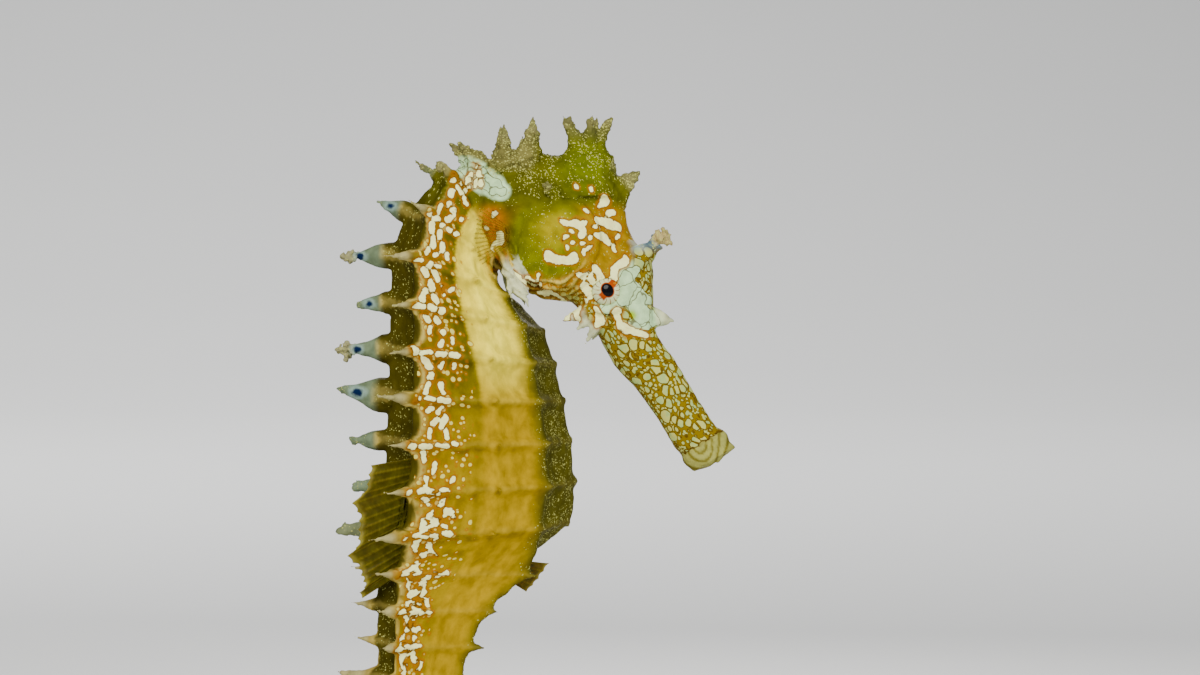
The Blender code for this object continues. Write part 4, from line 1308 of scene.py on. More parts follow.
@dataclass
class Coat:
    """Paints the skin's vertices: its ground colour and where each pattern lies."""

    body: Body
    thorns: list[Thorn]
    hues: Hues = Hues()
    mark_reach: float = 1.2
    lips_end: float = -10.1
    swirl_centre: Pair = (20.9, 80.9)
    swirl_width: float = 0.62
    saddle_places: tuple[Pair, ...] = ((2.25, 1.15), (2.05, 1.8), (1.75, 2.4), (1.55, 2.9))
    saddle_widths: tuple[float, ...] = (0.75, 0.85, 0.45)
    bar_places: tuple[float, ...] = (0.24, 0.50, 0.76)
    bars: tuple[Bars, ...] = (
        Bars(0.9, (1.15, 1.32), (0.03, 0.13), (-0.06, 0.06), (0.25, 0.34)),
        Bars(0.7, (1.52, 1.80), (0.0, 0.12), (-0.09, 0.09), (0.24, 0.31)))

    def paint(self, mesh: bpy.types.Mesh) -> None:
        """Gives a mesh all the fields that its material reads.

        Args:
            mesh: the skin, still in millimetres.
        """
        points = coordinates(mesh)
        known = Fields.of(self.body, points)
        shares, band, white = self.spine_fields(points)
        white *= smooth_step(known.lift, 0.15, 0.45)
        patch = self.patches(points, known)
        crust = crust_share(self.thorns, points)
        net, dots, grain = self.patterns(known, crust)
        coat = np.stack([net * (1.0 - white), dots, grain * (1.0 - 0.6 * white)], axis=1)
        ground = blend(self.ground(points, known, shares, crust, patch), (self.hues.white, 0.85 * white))
        ground = np.column_stack([ground, np.ones(len(ground))])
        fields = {"body": known.body, "marks": self.marks(points, known), "patch": patch, "band": band,
                  "coat": coat, "ground": ground}
        for name, values in fields.items():
            add_field(mesh, name, values)
        LOG.info("painted %d vertices", len(points))

    def head_distance(self, known: Fields, strokes: Sequence[Stroke], jitter: float,
                      seam: float = 0.0) -> Array:
        """How far each vertex is from marks of the head, which have other places on the left side.

        Args:
            known: the vertices' fields.
            strokes: the marks.
            jitter: how far the left side's marks are moved about.
            seam: how wide the line is that keeps crossing marks apart.

        Returns:
            The distances, below 0 inside a mark.
        """
        near = np.flatnonzero(known.t < 3.0)
        flat = known.flat[near][:, [0, 2]]
        flat = flat + 0.15 * np.sin(flat[:, ::-1] * (3.1, 2.6) + flat * 1.7)
        left = jitter * np.stack([np.sin(flat[:, 1] * 1.7), np.cos(flat[:, 0] * 1.9)], axis=1)
        flat = np.where(known.side[near][:, None] > 0, flat + left, flat)
        away = np.sort([stroke.distance(flat) for stroke in strokes], axis=0)
        away = np.maximum(away[0], seam - 0.6 * (away[1] - away[0])) if seam else away[0]
        found = np.full(len(known.t), self.mark_reach)
        found[near] = np.minimum(away, self.mark_reach)
        return found

    def patches(self, points: Array, known: Fields) -> Array:
        """How far each vertex is from the pale patches of the face and the neck, below 0 inside them."""
        patch = np.minimum(self.head_distance(known, FACE_PATCH, 0.25), (known.t - self.lips_end) * 1.2)
        near = np.flatnonzero(np.abs(known.t - 1.8) < 2.0)
        for side in SIDES:
            patch[near] = np.minimum(patch[near], self.saddle(points[near], side))
        return patch

    def marks(self, points: Array, known: Fields) -> Array:
        """How far each vertex is from the edge of the nearest white mark, below 0 inside it."""
        dots = tuple(Stroke((place,), DOT_RADIUS) for place in WHITE_DOTS)
        found = self.head_distance(known, WHITE_STROKES + THROAT_LINES + dots, 0.35, 0.09)
        first, second = found.copy(), found.copy()
        chance = random.Random(SEED + 2)
        for ring in range(2, self.body.tip - 6):
            near = np.flatnonzero(np.abs(known.t - ring) < 1.2)
            for side in SIDES:
                for start, end, width in self.ring_marks(ring, side, chance):
                    away = to_segment(points[near], start, end) - width
                    second[near] = np.minimum(second[near], np.maximum(first[near], away))
                    first[near] = np.minimum(first[near], away)
        apart = np.maximum(first, 0.07 - 0.6 * (second - first))
        return np.minimum(found, np.where(known.t > 1.0, apart, found))

    def ring_marks(self, ring: int, side: int, chance: random.Random) -> list[tuple[Array, Array, float]]:
        """The white bars and ovals of one ring's flank.

        Args:
            ring: the ring.
            side: 1 for the left and -1 for the right.
            chance: what the variation is drawn from.

        Returns:
            The start, the end and the half width of each mark.
        """
        scale = min(1.0, 1.12 - max(0, ring - LAST_TRUNK_RING) / 32.0)
        draw, made = chance.uniform, []

        def mark(t: float, row: float, dt: float, drow: float, width: float) -> None:
            """Adds one mark between two places."""
            start = self.body.skin_point(t - dt, row - drow, side)
            end = self.body.skin_point(t + dt, row + drow, side)
            made.append((start, end, width * scale * draw(0.85, 1.15)))

        row, last = draw(1.12, 1.24), draw(2.0, 3.2)
        while row < last:
            length = draw(0.03, 0.17)
            mark(ring + draw(-0.05, 0.05), row + length, draw(-0.03, 0.03), length, draw(0.25, 0.34))
            row += 2 * length + draw(0.19, 0.30)
        for t in self.bar_places:
            bite = 0.30 * math.sin(math.pi * t)
            for bars in self.bars:
                if chance.random() < bars.likely:
                    mark(ring + t, bite + draw(*bars.row), draw(*bars.half_length), draw(*bars.slant),
                         draw(*bars.half_width))
        for _ in range(chance.randint(0, 2)):
            mark(ring + draw(0.2, 0.8), draw(2.1, 2.8), draw(0.0, 0.08), draw(-0.08, 0.08), draw(0.23, 0.28))
        return made

    def saddle(self, points: Array, side: int) -> Array:
        """How far vertices are from the pale saddle patch on one side of the neck."""
        places = [self.body.skin_point(t, row, side) for t, row in self.saddle_places]
        pairs = zip(places, places[1:], self.saddle_widths)
        return np.min([to_segment(points, a, b) - width for a, b, width in pairs], axis=0)

    def spine_fields(self, points: Array) -> tuple[Array, Array, Array]:
        """What each vertex knows of the spines.

        Args:
            points: the vertices' places.

        Returns:
            How far up a spine each is, how far it is from a blue-black spot, and how white it is.
        """
        shares, white = np.zeros((2, len(points)))
        band = np.full(len(points), self.mark_reach)
        for thorn in self.thorns:
            near, share = thorn_share(thorn, points, 1.5 if thorn.flat > 0.7 else 0.9)
            shares[near] = np.maximum(shares[near], share)
            if thorn.growth is Growth.WHITE:
                white[near] = np.maximum(white[near], smooth_step(share, 0.02, 0.25))
            if thorn.growth is Growth.BANDED or (thorn.growth is Growth.TUFTED and thorn.root[0] < 5.0):
                off = points[near] - thorn.at(0.55 if thorn.growth is Growth.BANDED else 0.74)
                away = np.hypot(off[:, 0], off[:, 2]) - 0.085 * thorn.length
                band[near] = np.minimum(band[near], away)
        return shares, band, white

    def patterns(self, known: Fields, crust: Array) -> tuple[Array, Array, Array]:
        """Where the net, the small dots and the grain lie.

        Args:
            known: the vertices' fields.
            crust: how thick the crust is.

        Returns:
            A share from 0 to 1 for each of the three.
        """
        t, row, (p, _, z) = known.t, known.row, known.flat.T
        chin = smooth_step(z, 96.5, 92.5)
        net = 1.0 - smooth_step(t, -6.6, -4.4) * (1.0 - 0.9 * chin * (t < -1))
        bridge = smooth_step(p, 14.9, 15.4) * smooth_step(z, 98.8, 97.6)
        net = np.maximum(np.where(t > -1, 0.0, net), bridge * (t < 1))
        flank = smooth_step(row, 1.05, 1.3) * smooth_step(row, 3.6, 2.9) * smooth_step(t, 0.2, 2.0)
        dots = flank * (0.74 + 0.26 * bell(t, 5.6, 1.7)) * smooth_step(t, 2.4, 3.6)
        belly = 0.42 * smooth_step(row, 5.5, 6.3) * smooth_step(t, 3.0, 5.0)
        back = 0.22 * smooth_step(row, 1.0, 0.7) * smooth_step(t, 0.5, 2.5)
        head = 0.15 * smooth_step(t, 2.0, 0.0) * smooth_step(t, -7.0, -4.0)
        grain = np.clip(np.maximum.reduce([belly, back, head, crust]), 0.0, 1.0)
        return net, dots, grain

    def ground(self, points: Array, known: Fields, shares: Array, crust: Array, patch: Array) -> Array:
        """The colour that lies below the patterns.

        Args:
            points: the vertices' places.
            known: the vertices' fields.
            shares: how far up a spine each vertex is.
            crust: how thick the crust is.
            patch: how far each vertex is from the pale patches.

        Returns:
            A linear colour for each vertex.
        """
        hues, t, (p, _, z) = self.hues, known.t, known.flat.T
        flank = (known.row < 2.0) * smooth_step(t, 2.5, 3.5)
        left = (points[:, 1] >= 0) * smooth_step(t, 12.5, 10.5)
        over_eye = smooth_step(shares, 0.10, 0.35) * (t < 0) * (p > 14.0) * (z > 95.0) * (z < 101.0)
        tips = smooth_step(shares, 0.30, 0.80) * (z > 100.0) * (t < 3.5)
        folds = throat_folds(self.body, points)
        lime = np.hypot(p - 14.95, z - 92.25)
        return blend(
            self.head_ground(self.trunk_ground(known), known),
            (hues.near_spine, smooth_step(shares, 0.05, 0.35) * flank * (1.0 - left)),
            (hues.far_spine, smooth_step(shares, 0.0, 0.25) * flank * left),
            (hues.blue_white, over_eye),
            (hues.blue, 0.85 * over_eye * smooth_step(shares, 0.45, 0.62) * (shares < 0.8)),
            (hues.tan, over_eye * smooth_step(shares, 0.80, 0.90)),
            (hues.spine_tip, 0.85 * np.maximum(tips, 0.6 * smooth_step(z, 107.0, 109.0))),
            (hues.crust, 0.60 * smooth_step(crust, 0.75, 1.3)),
            # Painted light on the throat folds: a highlight on the crests, shade in the clefts
            (hues.fold_crest_highlight, 0.9 * folds),
            (hues.cleft_shade, -0.8 * folds),
            (hues.patch, smooth_step(patch, 0.60, 0.25) * (t > self.lips_end + 2.0)),
            (hues.lime, smooth_step(lime, 0.65, 0.15) * (t < -3)))

    def trunk_ground(self, known: Fields) -> Array:
        """The ground colour behind the head.

        Args:
            known: the vertices' fields.

        Returns:
            A linear colour for each vertex.
        """
        hues, t, row = self.hues, known.t, known.row
        trunk = smooth_step(t, 1.8, 3.6)

        # A golden band lies low on the flank; on the upper trunk a cream stripe along its middle is a painted
        # highlight
        edge = 3.55 - 0.50 * smooth_step(t, 8.0, 5.5)
        band = smooth_step(row, edge - 0.16, edge + 0.16) * smooth_step(row, 6.25, 5.35) * trunk
        cream = smooth_step(t, 8.4, 6.4) * np.clip(1.15 - 0.45 * np.abs(row - 4.5), 0.0, 1.0)

        # The dark back bites into the flank between the rings, and has a pale rim
        ring = bell(t, np.round(t), 0.07) * trunk
        bite = 0.84 + 0.40 * np.sqrt(np.abs(np.sin(math.pi * t))) * smooth_step(t, 16.0, 11.0)
        back = smooth_step(bite - row, -0.05, 0.05) * smooth_step(t, 1.5, 3.0)
        rim = bell(row, bite + 0.07, 0.075) * trunk
        return blend(
            np.tile(np.array(hues.flank), (len(t), 1)),
            (hues.low_flank, smooth_step(t, 7.0, 9.5)),
            (hues.net, 0.40 * smooth_step(row, 2.4, 1.4)),
            (hues.golden, band * (1.0 - 0.45 * smooth_step(t, 15.0, 25.0))),
            # Painted highlight: cream along the middle of the band on the upper trunk
            (hues.cream, band * cream),
            # The belly strip's dark olive is partly its own colour and partly painted shade
            (hues.belly, smooth_step(row, 5.35, 6.1) * trunk),
            (hues.back, back),
            (hues.rim, 0.9 * rim + 0.15 * ring * back + 0.10 * ring))

    def head_ground(self, ground: Array, known: Fields) -> Array:
        """Lays the colours of the head and the neck over the trunk's.

        Args:
            ground: the trunk's colours.
            known: the vertices' fields.

        Returns:
            A linear colour for each vertex.
        """
        hues, t, (p, _, z) = self.hues, known.t, known.flat.T
        cheek = smooth_step(dome_distance(p, z), 1.08, 0.80) * (t < 2.0)
        crown = smooth_step(z, 100.9, 102.6) * smooth_step(t, 4.5, 2.5)
        swirl = np.hypot(p - self.swirl_centre[0], 0.75 * (z - self.swirl_centre[1]))
        swirl = np.cos(2 * math.pi * (swirl / self.swirl_width + 0.16 * np.sin(2.1 * p + 1.3 * z)))
        return blend(
            ground,
            (hues.orange, 0.70 * smooth_step(t, 1.6, -0.4)),
            (hues.gill, 1.2 * bell(p, 2.6, 1.0) * bell(z, 100.6, 2.2) * (t < 3.0)),
            (hues.cheek, cheek),
            (hues.cheek_bright, 1.2 * bell(p, 8.4, 1.8) * bell(z, 99.9, 1.7) * cheek),
            (hues.orange, 0.8 * cheek * smooth_step(p, 9.8, 11.4)),
            (hues.crown, crown),
            (hues.crown_light, bell(p, 10.8, 2.2) * bell(z, 105.6, 2.6) * crown),
            (hues.snout, smooth_step(t, -4.6, -6.6)),
            (hues.lips, smooth_step(t, -9.6, -10.2)),
            (hues.lip_shade, 0.9 * smooth_step(swirl, 0.1, 0.95) * smooth_step(t, -9.7, -10.2)))


# Materials


class Wire:
    """An output of a node, which plain arithmetic joins to other outputs and numbers."""

    def __init__(self, graph: Graph, socket: bpy.types.NodeSocket) -> None:
        """Holds the output and the tree that it belongs to."""
        self.graph, self.socket = graph, socket

    def __add__(self, other: Wire | float) -> Wire:
        """The sum."""
        return self.graph.math("ADD", self, other)

    def __sub__(self, other: Wire | float) -> Wire:
        """The difference."""
        return self.graph.math("SUBTRACT", self, other)

    def __rsub__(self, other: float) -> Wire:
        """A number less this."""
        return self.graph.math("SUBTRACT", other, self)

    def __mul__(self, other: Wire | float) -> Wire:
        """The product."""
        return self.graph.math("MULTIPLY", self, other)


Feed = Wire | float | Colour


class Graph:
    """A material's node tree, with a short call for each kind of node that this scene uses."""

    def __init__(self, name: str) -> None:
        """Starts a material with one Principled shader."""
        self.material = bpy.data.materials.new(name)
        self.material.use_nodes = True
        self.tree = self.material.node_tree

    def feed(self, socket: bpy.types.NodeSocket, value: Feed) -> None:
        """Links an input to an output, or sets its value."""
        if isinstance(value, Wire):
            self.tree.links.new(value.socket, socket)
        else:
            socket.default_value = (*value, 1.0) if socket.type == "RGBA" else value

    def wire(self, kind: str, output: str | int, inputs: dict[str | int, Feed], **settings: str) -> Wire:
        """Adds a node.

        Args:
            kind: the node's type.
            output: the output that is wanted, by its name or number.
            inputs: what the inputs take, by their names or numbers.
            settings: the node's properties.

        Returns:
            The output.
        """
        node = self.tree.nodes.new("ShaderNode" + kind)
        for name, value in settings.items():
            setattr(node, name, value)
        for name, value in inputs.items():
            self.feed(node.inputs[name], value)
        return Wire(self, node.outputs[output])

    def field(self, name: str, output: str = "Fac") -> Wire:
        """Reads a field that the mesh carries."""
        return self.wire("Attribute", output, {}, attribute_name=name, attribute_type="GEOMETRY")

    def place(self) -> Wire:
        """The place on the object, in metres."""
        return self.wire("TexCoord", "Object", {})

    def part(self, vector: Wire, axis: str) -> Wire:
        """One part of a vector or a colour."""
        return self.wire("SeparateXYZ", axis, {0: vector})

    def math(self, operation: str, first: Wire | float, second: Wire | float = 0.0) -> Wire:
        """Works two numbers out."""
        return self.wire("Math", 0, {0: first, 1: second}, operation=operation)

    def step(self, value: Wire, low: float, high: float, first: float = 0.0, last: float = 1.0) -> Wire:
        """A smooth step from first at low to last at high."""
        limits = {"Value": value, "From Min": low, "From Max": high, "To Min": first, "To Max": last}
        return self.wire("MapRange", "Result", limits, interpolation_type="SMOOTHSTEP")

    def fade(self, value: Wire, low: float, high: float, top: float = 1.0) -> Wire:
        """A smooth step from top at low down to 0 at high."""
        return self.step(value, low, high, top, 0.0)

    def mix(self, share: Wire | float, first: Feed, second: Feed, kind: str = "MIX") -> Wire:
        """Mixes two colours."""
        return self.wire("Mix", 2, {0: share, 6: first, 7: second}, data_type="RGBA", blend_type=kind)

    def scaled(self, vector: Wire, scale: Point) -> Wire:
        """A vector with each part multiplied."""
        return self.wire("VectorMath", 0, {0: vector, 1: scale}, operation="MULTIPLY")

    def noise(self, vector: Wire, scale: float, detail: float = 2.0, output: str = "Fac") -> Wire:
        """Smooth noise from 0 to 1."""
        return self.wire("TexNoise", output, {"Vector": vector, "Scale": scale, "Detail": detail})

    def warped(self, vector: Wire, scale: float, amount: float) -> Wire:
        """A vector pushed about by smooth noise."""
        push = self.noise(vector, scale, output="Color")
        return self.wire("VectorMath", 0, {0: push, 1: (amount,) * 3, 2: vector}, operation="MULTIPLY_ADD")

    def cells(self, vector: Wire, scale: float, feature: str = "F1", output: str = "Distance") -> Wire:
        """Cells round random points."""
        return self.wire("TexVoronoi", output, {"Vector": vector, "Scale": scale}, feature=feature)

    def bump(self, height: Wire, strength: float, distance: float, below: Wire | None = None) -> Wire:
        """Turns heights into a bent normal, on top of the one below if there is one."""
        inputs = {"Height": height, "Strength": strength, "Distance": distance}
        return self.wire("Bump", "Normal", inputs if below is None else {**inputs, "Normal": below})

    def surface(self, **values: Feed) -> bpy.types.Material:
        """Feeds the shader's inputs by name.

        Args:
            values: each input's name with _ for a space, and a colour, a number or an output.

        Returns:
            The finished material.
        """
        shader = self.tree.nodes["Principled BSDF"]
        for name, value in values.items():
            self.feed(shader.inputs[name.replace("_", " ")], value)
        return self.material


@dataclass(frozen=True)
class SkinFinish:
    """The skin's patterns over its painted ground."""

    cell: Colour = (0.42, 0.42, 0.10)
    green_cell: Colour = (0.30, 0.39, 0.12)
    net: Colour = (0.165, 0.110, 0.002)
    line: Colour = (0.055, 0.026, 0.001)
    ring: Colour = (0.27, 0.090, 0.001)
    dot: Colour = (0.52, 0.48, 0.10)
    white: Colour = (0.84, 0.87, 0.36)
    cream: Colour = (0.76, 0.70, 0.29)
    blue: Colour = (0.003, 0.012, 0.045)
    halo: Colour = (0.24, 0.36, 0.32)
    grain: Colour = (0.41, 0.41, 0.11)
    wide_scale: float = 1.22
    small_scale: float = 3.1
    dot_scale: float = 1.75
    dot_radii: Range = (0.20, 0.36)
    grains: tuple[tuple[float, float, float], ...] = ((4.3, 0.75, 0.9), (7.0, 1.0, 0.85))

    def material(self) -> bpy.types.Material:
        """Builds the node tree.

        Returns:
            The skin's material.
        """
        g = Graph("patterned_skin")
        body, coat, ground = g.field("body", "Vector"), g.field("coat", "Vector"), g.field("ground", "Color")
        net, dots, grain = (g.part(coat, axis) for axis in "XYZ")

        # Clouds of darker and lighter ground, and the three patterns
        cloud = g.step(g.noise(g.scaled(body, (0.7, 1.0, 1.0)), 1.1, 5.0), 0.25, 0.75, 0.72, 1.26)
        colour, cell = self.netted(g, body, net, g.mix(1.0, ground, cloud, "MULTIPLY"))
        colour = self.dotted(g, body, dots, colour)
        colour, speck = self.grained(g, body, grain, colour)

        # Thin brown lines cross the pale patches
        lines = g.fade(g.cells(g.warped(body, 0.8, 1.3), 0.50, "DISTANCE_TO_EDGE"), 0.012, 0.034)
        lines = lines * g.step(g.part(body, "X"), 2.0, 4.0, 0.0, 0.75)
        uneven = g.field("patch") + g.noise(body, 1.4) * 0.5
        pale = g.mix(1.0, ground, g.step(g.noise(body, 1.5, 3.0), 0.2, 0.8, 0.8, 1.15), "MULTIPLY")
        colour = g.mix(g.fade(uneven, 0.29, 0.36), colour, self.line)
        colour = g.mix(g.fade(uneven, 0.24, 0.29), colour, g.mix(lines, pale, self.line))

        # White marks, each with a thin dark rim and a soft reddish ring
        wavy = g.field("marks") + (g.noise(body, 1.9) - 0.42) * 0.45
        mark = g.fade(wavy, -0.03, 0.035)
        colour = g.mix(g.fade(wavy, 0.06, 0.34, 0.75), colour, self.ring)
        colour = g.mix(g.fade(wavy, 0.03, 0.09, 0.85), colour, self.line)
        tint = g.mix(g.step(g.noise(body, 1.7, 3.0), 0.35, 0.75), self.white, self.cream)
        colour = g.mix(mark, colour, tint)

        # Blue-black spots on the spines, each in a pale ring
        edge = g.field("band") + g.noise(body, 1.8, 3.0) * 0.5
        colour = g.mix(g.fade(edge, 0.30, 0.75, 0.6), colour, self.halo)
        colour = g.mix(g.fade(edge, 0.12, 0.40), colour, self.blue)

        relief = g.bump(cell * net + mark * 0.6 + speck * 1.2, 0.45, 0.00007)
        relief = g.bump(g.noise(body, 6.0, 4.0), 0.35, 0.00007, relief)
        rough = g.step(g.noise(body, 2.5), 0.3, 0.7, 0.42, 0.60)
        return g.surface(Base_Color=colour, Roughness=rough, Normal=relief, IOR=1.06)

    def netted(self, g: Graph, body: Wire, net: Wire, colour: Wire) -> tuple[Wire, Wire]:
        """Rounded pale cells, wide ones with small ones between them, in a golden net.

        Args:
            g: the node tree.
            body: the place on the straightened body.
            net: where the net lies.
            colour: the colour so far.

        Returns:
            The new colour and how much of a cell each place is.
        """
        warped = g.warped(g.scaled(body, (0.80, 1.0, 1.0)), 0.9, 0.45)
        size = g.part(g.cells(warped, self.wide_scale, output="Color"), "X")
        inset = g.cells(warped, self.wide_scale, "DISTANCE_TO_EDGE") - 0.09
        disc = g.step(size, 0.0, 0.8, 0.40, 0.58) - g.cells(warped, self.wide_scale)
        wide = g.math("MINIMUM", inset, disc) - g.step(size, 0.93, 0.95)
        small = (0.46 - g.cells(warped, self.small_scale)) * 0.45
        height = g.math("MAXIMUM", wide, g.math("MINIMUM", small, -0.085 - wide))
        cell = g.step(height, -0.005, 0.030)
        edge = g.step(height, -0.060, -0.015) - cell
        pale = g.mix(g.step(g.noise(body, 1.3), 0.38, 0.62), self.cell, self.green_cell)
        lattice = g.mix(cell, g.mix(edge * 0.8, self.net, self.line), pale)
        return g.mix(net, colour, lattice), cell

    def dotted(self, g: Graph, body: Wire, dots: Wire, colour: Wire) -> Wire:
        """Small pale dots, most of them where their share is high.

        Args:
            g: the node tree.
            body: the place on the straightened body.
            dots: how many dots there are.
            colour: the colour so far.

        Returns:
            The new colour.
        """
        warped = g.warped(body, 1.0, 0.3)
        chance = g.cells(warped, self.dot_scale, output="Color")
        there = g.step(dots - g.part(chance, "X"), 0.0, 0.06)
        off = g.cells(warped, self.dot_scale) - g.step(g.part(chance, "Y"), 0.0, 1.0, *self.dot_radii)
        colour = g.mix(g.fade(off, 0.02, 0.28) * (there * 0.7), colour, self.ring)
        return g.mix(g.fade(off, -0.03, 0.05) * there, colour, self.dot)

    def grained(self, g: Graph, body: Wire, grain: Wire, colour: Wire) -> tuple[Wire, Wire]:
        """Tiny pale grains of two sizes, the more of them the higher their share.

        Args:
            g: the node tree.
            body: the place on the straightened body.
            grain: how many grains there are.
            colour: the colour so far.

        Returns:
            The new colour and how much of a grain each place is.
        """
        total = 0.0
        grain = grain * g.step(g.noise(body, 0.9, 3.0), 0.36, 0.62, 0.15, 1.65)
        warped = g.warped(body, 2.0, 0.15)
        for scale, share, strength in self.grains:
            chance = g.part(g.cells(warped, scale, output="Color"), "Z")
            there = g.step(grain * share - chance, 0.0, 0.08)
            speck = g.fade(g.cells(warped, scale), 0.20, 0.42, strength) * there
            total = g.math("MAXIMUM", total, speck)
        return g.mix(total, colour, self.grain), total


# Eyes


@dataclass(frozen=True)
class EyeFinish:
    """A glossy eye: a black pupil in an orange iris, crossed by white bars that run outwards."""

    pupil: Colour = (0.003, 0.003, 0.004)
    iris: Colour = (0.30, 0.045, 0.001)
    gold: Colour = (0.46, 0.20, 0.003)
    white: Colour = (0.56, 0.61, 0.34)
    brown: Colour = (0.22, 0.075, 0.001)
    lean: float = math.radians(50.0)

    def material(self) -> bpy.types.Material:
        """Builds the node tree.

        Returns:
            The eye's material.
        """
        g = Graph("seahorse_eye")
        polar, place = g.field("polar", "Vector"), g.place()
        radius, angle = g.part(polar, "X"), g.part(polar, "Y")
        spoke = g.math("SINE", (angle + (g.noise(place, 700.0) - 0.5) * 0.8) * 7.0)
        lines = g.fade(g.math("ABSOLUTE", spoke), 0.05, 0.45) * g.step(radius, 0.65, 0.8)
        colour = g.mix(lines * 0.9, self.white, self.brown)

        # The iris shows as a streak that leans through the pupil
        turned = angle - self.lean
        across = g.math("ABSOLUTE", g.math("SINE", turned) * radius)
        ahead = g.math("COSINE", turned) * radius
        streak = g.fade(across, 0.30, 0.42) * g.step(ahead, -1.05, -0.85) * g.fade(ahead, 1.25, 1.40)
        flecks = g.fade(g.cells(place, 2600.0), 0.2, 0.5) * 0.8
        colour = g.mix(streak, colour, g.mix(flecks * g.step(ahead, 0.3, 0.9), self.iris, self.gold))
        colour = g.mix(g.fade(radius, 0.60, 0.68), colour, self.iris)
        colour = g.mix(g.fade(radius, 0.53, 0.57), colour, self.pupil)
        relief = g.bump(g.noise(place, 2500.0), 0.10, 0.00002)
        return g.surface(Base_Color=colour, Roughness=0.15, Normal=relief, Specular_IOR_Level=0.06,
                         Coat_Weight=0.04, Coat_Roughness=0.04)


@dataclass
class Eye:
    """An eyeball that looks out to the side from its socket."""

    head: Head
    side: int
    swell: float = 0.10

    def build(self, finish: bpy.types.Material) -> None:
        """Builds the ball, with the cornea standing out a little over the pupil.

        Args:
            finish: the eye's material.
        """
        centre = self.head.body.head_point(self.head.eye, self.side)
        way = self.head.eye_way(self.side)
        forms = Forms()
        bmesh.ops.create_uvsphere(forms.mesh, u_segments=64, v_segments=48, radius=self.head.eye_radius)
        turn = Vector(way).to_track_quat("Z", "Y").to_matrix()
        bmesh.ops.rotate(forms.mesh, verts=forms.mesh.verts, matrix=turn)
        bmesh.ops.translate(forms.mesh, verts=forms.mesh.verts, vec=Vector(centre))
        ball = forms.to_object("eye_ball_" + SIDES[self.side])
        off = coordinates(ball.data) - centre
        ahead = off @ way
        away = np.linalg.norm(off - ahead[:, None] * way, axis=1)
        cornea = smooth_step(away, 1.05, 0.45) * (ahead > 0) * self.swell
        set_coordinates(ball.data, centre + off + cornea[:, None] * way)

        # Places round the pupil for the material, far off on the back half
        up = unit(np.array((0.0, 0.0, 1.0)) - way[2] * way)
        angle = np.arctan2(off @ up, off @ (-self.side * np.cross(up, way)))
        radius = np.where(ahead > 0, away, 9.0) * (1.0 + 0.10 * np.cos(2 * angle - 1.0))
        add_field(ball.data, "polar", np.stack([radius, angle, 0 * away], axis=1))
        dress(ball, finish, "eye", "eye_" + SIDES[self.side])


# Fins


@dataclass(frozen=True)
class FinFinish:
    """A thin olive web, paler and clearer than the rays that hold it."""

    name: str = "dorsal_web"
    web: Colour = (0.050, 0.046, 0.002)
    ray: Colour = (0.090, 0.074, 0.004)
    edge: Colour = (0.17, 0.15, 0.02)
    clearness: float = 0.06
    ray_clearness: float = 0.0

    def material(self) -> bpy.types.Material:
        """Builds the node tree.

        Returns:
            The fins' material.
        """
        g = Graph(self.name)
        fin, place = g.field("fin", "Vector"), g.place()
        ray, reach = g.part(fin, "X"), g.part(fin, "Y")
        joints = g.step(g.math("SINE", reach * 70.0), 0.3, 0.9)
        colour = g.mix(g.step(ray, 0.35, 0.9), self.web, self.ray)
        colour = g.mix(joints * (ray * 0.22), colour, self.edge)
        colour = g.mix(g.step(reach, 0.85, 1.0), colour, self.edge)
        mottle = g.step(g.noise(place, 1200.0, 4.0), 0.35, 0.7, 0.7, 1.25)
        colour = g.mix(1.0, colour, mottle, "MULTIPLY")
        alpha = g.step(ray, 0.1, 0.8, 1.0 - self.clearness, 1.0 - self.ray_clearness)
        relief = g.bump(g.noise(place, 4000.0), 0.2, 0.00003)
        return g.surface(Base_Color=colour, Roughness=0.35, Normal=relief, Alpha=alpha, IOR=1.12,
                         Subsurface_Weight=0.2, Subsurface_Radius=(0.0008, 0.0005, 0.0002),
                         Subsurface_Scale=1.0)


@dataclass
class Fin:
    """A fin as a thin closed sheet whose rays stand out on both faces."""

    name: str
    node: str
    rays: int
    place: Rays
    columns: int = 6
    rows: int = 16
    ray_half: float = 0.13
    web_half: float = 0.045
    ray_breadth: float = 0.20
    notch: float = 0.055
    sunk: float = 0.7
    wave: float = 0.22
    waves: float = 3.0

    def build(self, finish: bpy.types.Material) -> None:
        """Builds the sheet.

        Args:
            finish: the fins' material.
        """
        forms = Forms()
        sheet = forms.mesh
        across = self.columns * (self.rays - 1)
        bmesh.ops.create_grid(sheet, x_segments=across, y_segments=self.rows, size=1.0)
        share, reach = (np.array([vert.co[:2] for vert in sheet.verts]).T + 1.0) / 2.0
        root, tip, normal = self.place(share)
        start = -self.sunk / np.linalg.norm(tip - root, axis=1)
        up = start + (1.0 - start) * reach
        above = np.clip(up, 0, 1)
        phase = share * (self.rays - 1)
        ray = bell(phase, np.round(phase), self.ray_breadth)
        notch = 1.0 - self.notch * (1.0 - ray) * smooth_step(up, 0.5, 1.0)
        bend = self.wave * np.sin(2 * math.pi * self.waves * share + 1.0) * above ** 1.5
        middle = root + (tip - root) * (up * notch)[:, None] + normal * bend[:, None]
        half = self.web_half + (self.ray_half - self.web_half) * ray * (1.0 - 0.75 * above)

        # The sheet becomes two, and each is moved to its own face of the fin
        self.move(sheet, middle)
        bmesh.ops.solidify(sheet, geom=sheet.faces, thickness=1e-3)
        out = normal * half[:, None]
        self.move(sheet, np.concatenate([middle + out, middle - out]))
        fin = forms.to_object(self.name)
        add_field(fin.data, "fin", np.tile(np.stack([ray, above, share], axis=1), (2, 1)))
        dress(fin, finish, "fin", self.node)

    @staticmethod
    def move(sheet: bmesh.types.BMesh, points: Array) -> None:
        """Sets the places of all of a sheet's vertices."""
        for vert, point in zip(sheet.verts, points, strict=True):
            vert.co = point


